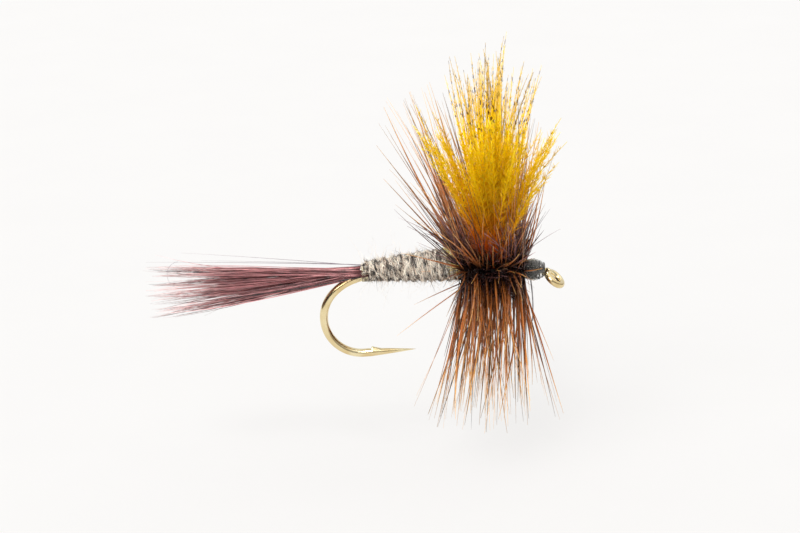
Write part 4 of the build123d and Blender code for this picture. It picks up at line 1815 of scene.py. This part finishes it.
@dataclass
class HubDown:
    """Downy barb roots that cover the thorax between the two hackles and lie over the wings' feet."""

    short: int = 420
    ends: tuple[float, float] = (-6.0, -1.95)
    radius: float = 0.55
    fringes: tuple[Fringe, ...] = (
        Fringe(84, (-5.7, -4.2), -17.0, (2.6, 8.6)), Fringe(50, (-4.4, -3.1), -4.0, (1.6, 4.2)),
        Fringe(58, (-3.3, -2.1), 3.0, (2.6, 8.4)), Fringe(30, (-2.9, -2.4), 0.0, (5.0, 9.0)),
        Fringe(50, (-5.7, -4.2), -16.0, (2.6, 8.0), 1.0), Fringe(36, (-3.3, -2.1), 3.0, (2.6, 8.0), 1.0),
    )
    seed: int = 303

    def build(self, layout: Layout, material: bpy.types.Material) -> bpy.types.Object:
        """Make the down: short fibres that cross all round, and fringes that reach up over the wings.

        Args:
            layout: Shared places.
            material: The down's finish.

        Returns:
            The piece.
        """
        rng = np.random.default_rng(self.seed)
        steps = 7
        rear, front = self.ends
        places = [rng.uniform(rear, front, self.short)]
        angles = [rng.uniform(-np.pi, np.pi, self.short)]
        leans = [np.clip(rng.normal(0, 18, self.short) - 9.0 * (places[0] - (rear + front) / 2), -30, 26)]
        lengths = [0.7 + 2.2 * rng.beta(1.4, 2.4, self.short)]
        for fringe in self.fringes:
            places.append(rng.uniform(*fringe.roots, fringe.count))
            angles.append(fringe.side * np.radians(rng.uniform(35, 54, fringe.count)))
            leans.append(rng.normal(fringe.lean, 7.0, fringe.count))
            low, high = fringe.lengths
            lengths.append(low + (high - low) * rng.beta(1.2, 1.5, fringe.count))
        x, around, length = (np.concatenate(parts) for parts in (places, angles, lengths))
        count = len(x)
        way = leaning(around, np.radians(np.concatenate(leans)))
        way = unit(way + rng.normal(0, 0.10, (count, 3)))
        root = layout.at(x, np.full(count, self.radius), around)
        t = shares(steps)
        bend = rng.normal(0, 0.08, (count, 1, 3)) * t * t
        width = taper(steps, rng.uniform(0.034, 0.068, count), 0.006, 1.6)
        fibres = Fibres(
            line=grow(root, length, way, t, bend), width=width, depth=width * 0.6,
            across=unit(rng.normal(size=(count, 3))), tone=rng.random(count), lot=rng.random(count),
            along=np.linspace(0, 0.12, steps)[None, :] * length[:, None],
        )
        return finish_piece(fibres.build("hub_down"), material)


@dataclass
class StrayBarbs:
    """Barbs that were trapped or bent out of line. Each is x, angle round the shank, lean and length."""

    strays: tuple[tuple[float, float, float, float], ...] = (
        (-5.6, -168.0, -70.0, 3.4), (-5.2, -165.0, -58.0, 5.6), (-6.0, -62.0, -76.0, 2.4),
        (-2.2, -172.0, 22.0, 5.4), (-5.4, 12.0, -47.0, 5.0), (-5.6, -12.0, -42.0, 6.2),
        (-3.4, -120.0, -20.0, 5.0), (-2.9, -40.0, -6.0, 8.6), (-2.4, -42.0, 4.0, 8.8),
        (-5.0, -40.0, -22.0, 9.0), (-5.0, -46.0, -26.0, 8.0),
    )
    steps: int = 10

    def build(self, layout: Layout, material: bpy.types.Material) -> bpy.types.Object:
        """Make the strays, each bending a little along its way.

        Args:
            layout: Shared places.
            material: The material to wear.

        Returns:
            The piece.
        """
        table = np.array(self.strays)
        count = len(table)
        around, lean = np.radians(table[:, 1]), np.radians(table[:, 2])
        root = layout.at(table[:, 0], np.full(count, 0.6), around)
        way = leaning(around, lean)
        t = shares(self.steps)
        bend = np.array([0.0, 0.02, -0.05]) * t * t
        width = taper(self.steps, np.full(count, 0.042), 0.005, 1.4)
        fibres = Fibres(
            line=grow(root, table[:, 3], way, t, bend), width=width, depth=width * 0.6,
            across=unit(np.cross(way, Y_AXIS + 0.1)), tone=0.5 + 0.45 * np.sin(7.0 * np.arange(count)),
            # lot follows how far up a stray points, so the hackle finish's raised colour paints the upper
            # strays paler: a painted sheen.
            lot=np.clip(0.5 + 0.5 * np.cos(around), 0, 1),
        )
        return finish_piece(fibres.build("stray_barbs"), material)


# ---- thread work -----------------------------------------------------------
@dataclass
class Head:
    """The tapered thread head, its whip finish, the varnish over it and the thread's trimmed end."""

    rear_radius: float = 0.50
    front_radius: float = 0.36
    swell: float = 0.20
    thread: float = 0.070
    sunk: float = 0.6
    flatness: float = 0.62
    split: float = 0.645
    varnish_over: float = 0.055
    varnish_under: float = 0.035

    def profile(self, share: Array) -> Array:
        """Radius at a share of the head's length: a cone plus swell times a half sine."""
        cone = self.rear_radius + (self.front_radius - self.rear_radius) * share
        return cone + self.swell * np.sin(np.pi * np.clip(share, 0, 1))

    def wound(
        self, layout: Layout, name: str, ends: tuple[float, float], turns: float, passes: int
    ) -> bpy.types.Object:
        """Wind thread to and fro between two places on the head.

        The place along the head is a triangle wave of the winding's progress, so the passes cross.

        Args:
            layout: Gives the head's ends.
            name: The piece's name.
            ends: Where the winding starts and ends, as shares of the head's length.
            turns: Turns in all.
            passes: How many times it runs from one end to the other.

        Returns:
            The thread.
        """
        low, high = layout.head
        steps = int(turns * 44)
        w = np.linspace(0, 1, steps)
        fold = np.abs((w * passes + 1) % 2 - 1)
        share = ends[0] + (ends[1] - ends[0]) * fold
        x = float(low[0]) + 0.03 + (float(high[0] - low[0]) - 0.06) * share
        wobble = 0.012 * np.sin(w * 37.0) + 0.008 * np.sin(w * 91.0)
        layer = 0.022 * (w * passes).astype(int) / max(passes - 1, 1)
        radius = self.profile(share) - self.thread * self.sunk + layer + wobble
        line, across = winding(layout, x, radius, turns)
        half = np.full(steps, self.thread)
        return tube(name, line, across, half, half * self.flatness)

    def varnish(self, layout: Layout) -> bpy.types.Object:
        """The varnish: a closed skin that rises and falls a little over the turns of thread.

        The outer surface is profile + thickness + ripples, and the inner one is just over the thread.

        Args:
            layout: Shared places.

        Returns:
            The piece.
        """
        low, high = layout.head
        half = 60
        out_and_back = (np.linspace(-0.02, 1.02, half), np.linspace(1.02, -0.02, half))
        share = np.concatenate(out_and_back)
        outer = np.arange(2 * half) < half
        around = 2 * np.pi * np.arange(64) / 64
        grid, turn = np.meshgrid(share, around, indexing="ij")
        ripple = 0.022 * np.sin(grid * 40 + turn) + 0.014 * np.sin(3 * turn + 5 * grid)
        ripple = ripple * smooth(0, 0.1, grid) * smooth(0, 0.1, 1 - grid)
        rise = np.where(outer[:, None], self.varnish_over + ripple, self.varnish_under)
        x = float(low[0]) + float(high[0] - low[0]) * grid
        rings = layout.at(x, self.profile(grid) + rise, turn)
        steps, sides, _ = rings.shape
        index = np.arange(steps * sides).reshape(steps, sides)
        near, far = index, np.roll(index, -1, 0)
        walls = np.stack([near, far, np.roll(far, -1, 1), np.roll(near, -1, 1)], axis=-1).reshape(-1, 4)
        uv = np.zeros((len(walls), 4, 2))
        return new_object("head_varnish", rings.reshape(-1, 3), [Skin(walls, uv, uv)])

    def tag(self) -> bpy.types.Object:
        """The trimmed thread's end: it leaves the head and hangs with a slight curve.

        Returns:
            The piece.
        """
        low, high = box_mm("thread_tag")
        steps = 26
        w = np.linspace(0, 1, steps)[:, None]
        top = np.array([(low[0] + high[0]) / 2, 0.0, high[2] + 0.15])
        drop = np.array([0.0, 0.0, -(high[2] - low[2]) - 0.1])
        line = top + drop * w + np.array([0.12, 0.05, 0.0]) * np.sin(np.pi * w * 0.8)
        half = np.linspace(0.046, 0.034, steps)
        return tube("thread_end", line, np.broadcast_to(X_AXIS, line.shape), half, half * 0.8, sides=6)

    def build(
        self, layout: Layout, thread: bpy.types.Material, tag: bpy.types.Material, varnish: VarnishFinish
    ) -> list[bpy.types.Object]:
        """Make the head.

        Args:
            layout: Shared places.
            thread: For the head.
            tag: For the thread's end.
            varnish: For the varnish.

        Returns:
            The pieces.
        """
        wraps = self.wound(layout, "head_thread", (0.0, 1.0), 24.0, 3)
        whip = self.wound(layout, "whip_turns", (self.split, 0.97), 5.0, 1)
        return [
            finish_piece(wraps, thread, ["head_thread_wraps"]),
            finish_piece(whip, thread, ["whip_finish"]),
            finish_piece(self.varnish(layout), varnish.build(), ["head_cement"]),
            finish_piece(self.tag(), tag, ["thread_tag"]),
        ]


@dataclass
class Bindings:
    """Thread that shows or supports elsewhere: the tail's binding and the pieces under the body."""

    hidden_thread: tuple[str, ...] = ("thread_base", "thorax_thread", "wing_prop_wraps")
    tail_turns: float = 5.0

    def tail_binding(self, layout: Layout) -> bpy.types.Object:
        """The thread round the tail's root and the wire, as a helix that rises above the shank.

        Args:
            layout: Shared places.

        Returns:
            The piece.
        """
        low, high = box_mm("tail_tying_wraps")
        radius = float(high[2] - low[2]) / 2
        rise = float(high[2] + low[2]) / 2 - layout.shank_height
        x = low[0] + 0.05 + (high[0] - low[0]) * np.linspace(0, 1, 240)
        line, across = winding(layout, x, np.full(len(x), radius - 0.04), self.tail_turns, rise)
        half = np.full(len(x), BINDING_HALF)
        return tube("tail_binding_thread", line, across, half, half * 0.8)

    def build(self, layout: Layout, thread: bpy.types.Material, bound: BoundThreadFinish) -> None:
        """Make the tail's binding and dress the thread nodes that stay as they are in CAD."""
        finish_piece(self.tail_binding(layout), thread, ["tail_tying_wraps"])
        dress_nodes(self.hidden_thread, bound.build())


def dress_nodes(names: Iterable[str], material: bpy.types.Material) -> None:
    """Give CAD nodes that stay a finish of their own.

    Args:
        names: The CAD nodes.
        material: The material to wear.
    """
    for name in names:
        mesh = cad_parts[name].data
        mesh.materials.clear()
        mesh.materials.append(material)
        LOG.info("%s: CAD node dressed in %s", name, material.name)


# ---- studio ----------------------------------------------------------------
@dataclass(frozen=True)
class SoftSun:
    """A broad, soft sun. All but its strength is in degrees."""

    name: str
    strength: float
    angle: float
    azimuth: float
    height: float

    def hang(self) -> None:
        """Put it in the scene; azimuth 0 stands behind the camera and 90 to its right."""
        light = bpy.data.lights.new(self.name, "SUN")
        light.energy = self.strength
        light.angle = math.radians(self.angle)
        holder = bpy.data.objects.new(self.name, light)
        turn, rise = math.radians(self.azimuth), math.radians(self.height)
        towards = (math.sin(turn) * math.cos(rise), -math.cos(turn) * math.cos(rise), math.sin(rise))
        holder.rotation_mode = "QUATERNION"
        holder.rotation_quaternion = Vector(towards).to_track_quat("Z", "Y")
        bpy.context.scene.collection.objects.link(holder)


@dataclass
class Studio:
    """The floor, the light and the camera."""

    frame_width: float = 50.0
    lens: float = 110.0
    sensor: float = 36.0
    elevation: float = 16.0
    roll: float = 2.23
    centre_right: float = -9.64
    centre_up: float = 0.744
    world_strength: float = 0.85
    world_slope: float = 0.45
    world_stops: tuple[tuple[float, Colour], ...] = (
        (0.0, tint(30, 22, 16)), (0.30, tint(52, 40, 30)), (0.42, tint(244, 244, 242)),
        (1.0, tint(255, 255, 255)),
    )
    suns: tuple[SoftSun, ...] = (
        SoftSun("key", strength=2.2, angle=44.0, azimuth=-26.0, height=40.0),
        SoftSun("fill", strength=0.9, angle=120.0, azimuth=50.0, height=40.0),
        SoftSun("glint", strength=0.80, angle=14.0, azimuth=-12.0, height=52.0),
    )

    def floor(self) -> None:
        """Lay the floor just under the lowest hackle tips."""
        bpy.context.view_layer.update()
        low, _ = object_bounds()
        height = low[2] / MM - FLOOR_GAP
        ways = ((-1, -1), (1, -1), (1, 1), (-1, 1))
        corners = np.array([[x * FLOOR_HALF, y * FLOOR_HALF, height] for x, y in ways])
        uv = np.zeros((1, 4, 2))
        floor = new_object("floor", corners, [Skin(np.array([[0, 1, 2, 3]]), uv, uv)])
        floor.data.materials.append(FloorFinish().build())
        floor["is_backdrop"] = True

    def world(self) -> None:
        """A white tent: open and dark on the camera's side, white down to the floor behind the fly."""
        world = bpy.data.worlds.new("white tent")
        world.use_nodes = True
        graph = Graph(world.node_tree)
        way = graph.add("SeparateXYZ", {0: graph.add("TexCoord").outputs["Generated"]})
        height = graph.math("MULTIPLY_ADD", way.outputs[1], self.world_slope, way.outputs[2])
        colour = graph.ramp(height, self.world_stops)
        background = graph.add("Background", {"Color": colour, "Strength": self.world_strength})
        graph.feed(graph.add("OutputWorld").inputs["Surface"], background.outputs[0])
        bpy.context.scene.world = world

    def camera(self) -> None:
        """Stand the camera to one side, a little above the fly, level with the middle of the frame."""
        rise, roll = math.radians(self.elevation), math.radians(self.roll)
        forward = Vector((0, math.cos(rise), -math.sin(rise)))
        upright = Vector((0, math.sin(rise), math.cos(rise)))
        right = Vector((1, 0, 0)) * math.cos(roll) - upright * math.sin(roll)
        up = Vector((1, 0, 0)) * math.sin(roll) + upright * math.cos(roll)
        data = bpy.data.cameras.new("camera")
        data.lens = self.lens
        data.sensor_width = self.sensor
        data.clip_start = 0.001
        camera = bpy.data.objects.new("camera", data)
        target = (right * self.centre_right + up * self.centre_up) * MM
        distance = self.frame_width * self.lens / self.sensor * MM
        turn = Matrix((right, up, -forward)).transposed().to_4x4()
        camera.matrix_world = Matrix.Translation(target - forward * distance) @ turn
        bpy.context.scene.collection.objects.link(camera)
        bpy.context.scene.camera = camera

    def build(self) -> None:
        """Set everything up."""
        self.floor()
        self.world()
        for sun in self.suns:
            sun.hang()
        self.camera()
        bpy.context.scene.view_settings.view_transform = "Standard"
        bpy.context.scene.view_settings.look = "None"


# ---- the whole fly ---------------------------------------------------------
def main() -> None:
    """Build the fly's looks in order, round the CAD frame."""
    logging.basicConfig(level=logging.INFO, format="%(message)s")
    layout = Layout.read()
    head_thread = ThreadFinish(
        "varnished grey thread", tint(80, 76, 80), tint(3, 2, 3), varnished=0.2
    ).build()
    tag_thread = ThreadFinish("thread end", tint(176, 172, 174), tint(112, 108, 112)).build()
    pale_thread = ThreadFinish("grey thread", tint(226, 214, 176), tint(110, 98, 76)).build()
    Hook().build(GoldFinish())
    tail_finish = FeatherFinish(
        name="mauve tail feather", root=tint(80, 24, 32), middle=tint(98, 26, 34), tip=tint(206, 172, 170),
        raised=tint(216, 158, 158), pale_tone_or_top_sheen_share=0.72, root_end=0.1, tip_start=0.68, contrast=2.9,
        sheen=0.0, glow=0.08,
    )
    grey_fibre = FeatherFinish(
        name="grey tail strays", root=tint(110, 100, 110), middle=tint(140, 126, 136), tip=tint(196, 184, 186)
    )
    Tail().build(layout, tail_finish, grey_fibre)
    fur_stops = (
        (0.0, tint(255, 248, 234)), (0.34, tint(246, 228, 208)), (0.54, tint(190, 166, 148)),
        (0.68, tint(74, 56, 46)), (0.84, tint(18, 12, 10)),
    )
    felt = FeltedFurFinish("packed hare fur", tint(214, 200, 176), tint(120, 110, 102), tint(30, 26, 24))
    body = Body()
    body.build(layout, felt, FurFinish("hare fur", fur_stops, tint(250, 244, 232), 0.22))
    wing_colours = dict(
        middle=tint(255, 204, 0), raised=tint(255, 214, 8), sheen=0.0, specular=0.12, glow=0.3
    )
    far = FeatherFinish(
        name="barred yellow flank", **wing_colours, root=tint(190, 96, 6), tip=tint(240, 196, 100),
        root_end=0.4, tip_start=0.7, bar_colour=tint(70, 34, 6), bars=15.0,
    )
    near = FeatherFinish(
        name="webby yellow flank", **wing_colours, root=tint(238, 82, 34), tip=tint(255, 220, 60),
        pale_tone_or_top_sheen_share=0.4, root_end=0.84, tip_start=0.93, contrast=0.5,
    )
    far_locks = (
        Lock(0.20, -7.2, 2.4, 14.6), Lock(0.46, 0.5, 4.5, 14.3), Lock(0.05, 5.3, 0.6, 15.8),
        Lock(0.16, 8.5, 2.2, 13.9), Lock(0.10, 13.5, 1.8, 13.4),
    )
    near_locks = (Lock(0.17, -16.0, 3.4, 13.7), Lock(0.70, -0.5, 9.4, 13.2), Lock(0.13, 16.0, 4.2, 11.8))
    far_wing = Wing(Side.FAR, 92, far_locks, 90, 0.46, 0.016, half_width=0.042, tip_half_width=0.011)
    far_wing.build(layout, far, pale_thread)
    Wing(Side.NEAR, 100, near_locks, 105, 0.90, 0.022, seed=41).build(layout, near, pale_thread)
    butt_finish = FeatherFinish(
        name="olive wing butts", root=tint(150, 124, 40), middle=tint(206, 172, 60), tip=tint(226, 206, 120)
    )
    WingButtEnds().build(body, butt_finish)
    # The raised colour is a painted sheen: with the barbs' lot it makes the upward barbs paler tan, as if lit
    # from above.
    barb = FeatherFinish(
        name="brown cock hackle", root=tint(44, 20, 12), middle=tint(146, 78, 22), tip=tint(204, 154, 88),
        raised=tint(174, 114, 68), pale_tone_or_top_sheen_share=0.85, root_end=0.34, tip_start=0.5, contrast=1.7,
        roughness=0.3, sheen=0.0, specular=0.4,
    ).build()
    web = FeatherFinish(
        name="dark hackle web", root=tint(24, 12, 12), middle=tint(96, 62, 58), tip=tint(124, 84, 72),
        contrast=1.8, roughness=0.24, sheen=0.0, specular=0.7,
    ).build()
    # Dark brown down; its mauve-grey middle and tip are a painted sheen, standing for highlights over the
    # hub.
    down = FeatherFinish(
        name="dark hackle down with painted mauve sheen", root=tint(32, 17, 18), middle=tint(124, 92, 92), tip=tint(160, 132, 134),
        root_end=0.36, contrast=1.9, roughness=0.22, sheen=0.0, specular=0.6,
    ).build()
    quill = FeatherFinish(
        name="wound quill", root=tint(44, 24, 20), middle=tint(60, 34, 26), tip=tint(70, 42, 34),
        roughness=0.25,
    ).build()
    rear = Hackle(
        "rear", lean_above=-18.0, lean_below=-7.0, barbs=270, seed=101, lean_limits=(-38.0, 16.0),
        overrun=(0.0, 0.8), reach_above=11.8, spread=8.2,
    )
    front = Hackle(
        "front", lean_above=7.0, lean_below=0.0, barbs=240, seed=202, lean_limits=(-26.0, 15.0),
        overrun=(-0.8, 0.0),
    )
    rear.build(layout, barb, web, quill)
    front.build(layout, barb, web, quill)
    HubDown().build(layout, down)
    StrayBarbs().build(layout, barb)
    bound_thread = BoundThreadFinish("bound thread", tint(120, 116, 112), tint(40, 38, 40))
    Bindings().build(layout, pale_thread, bound_thread)
    dress_nodes(("tail_butts",), tail_finish.build())
    dress_nodes(("wing_butts",), butt_finish.build())
    dress_nodes(("hackle_quill_ends",), quill)
    Head().build(layout, head_thread, tag_thread, VarnishFinish())
    Studio().build()


if __name__ == "__main__":
    main()
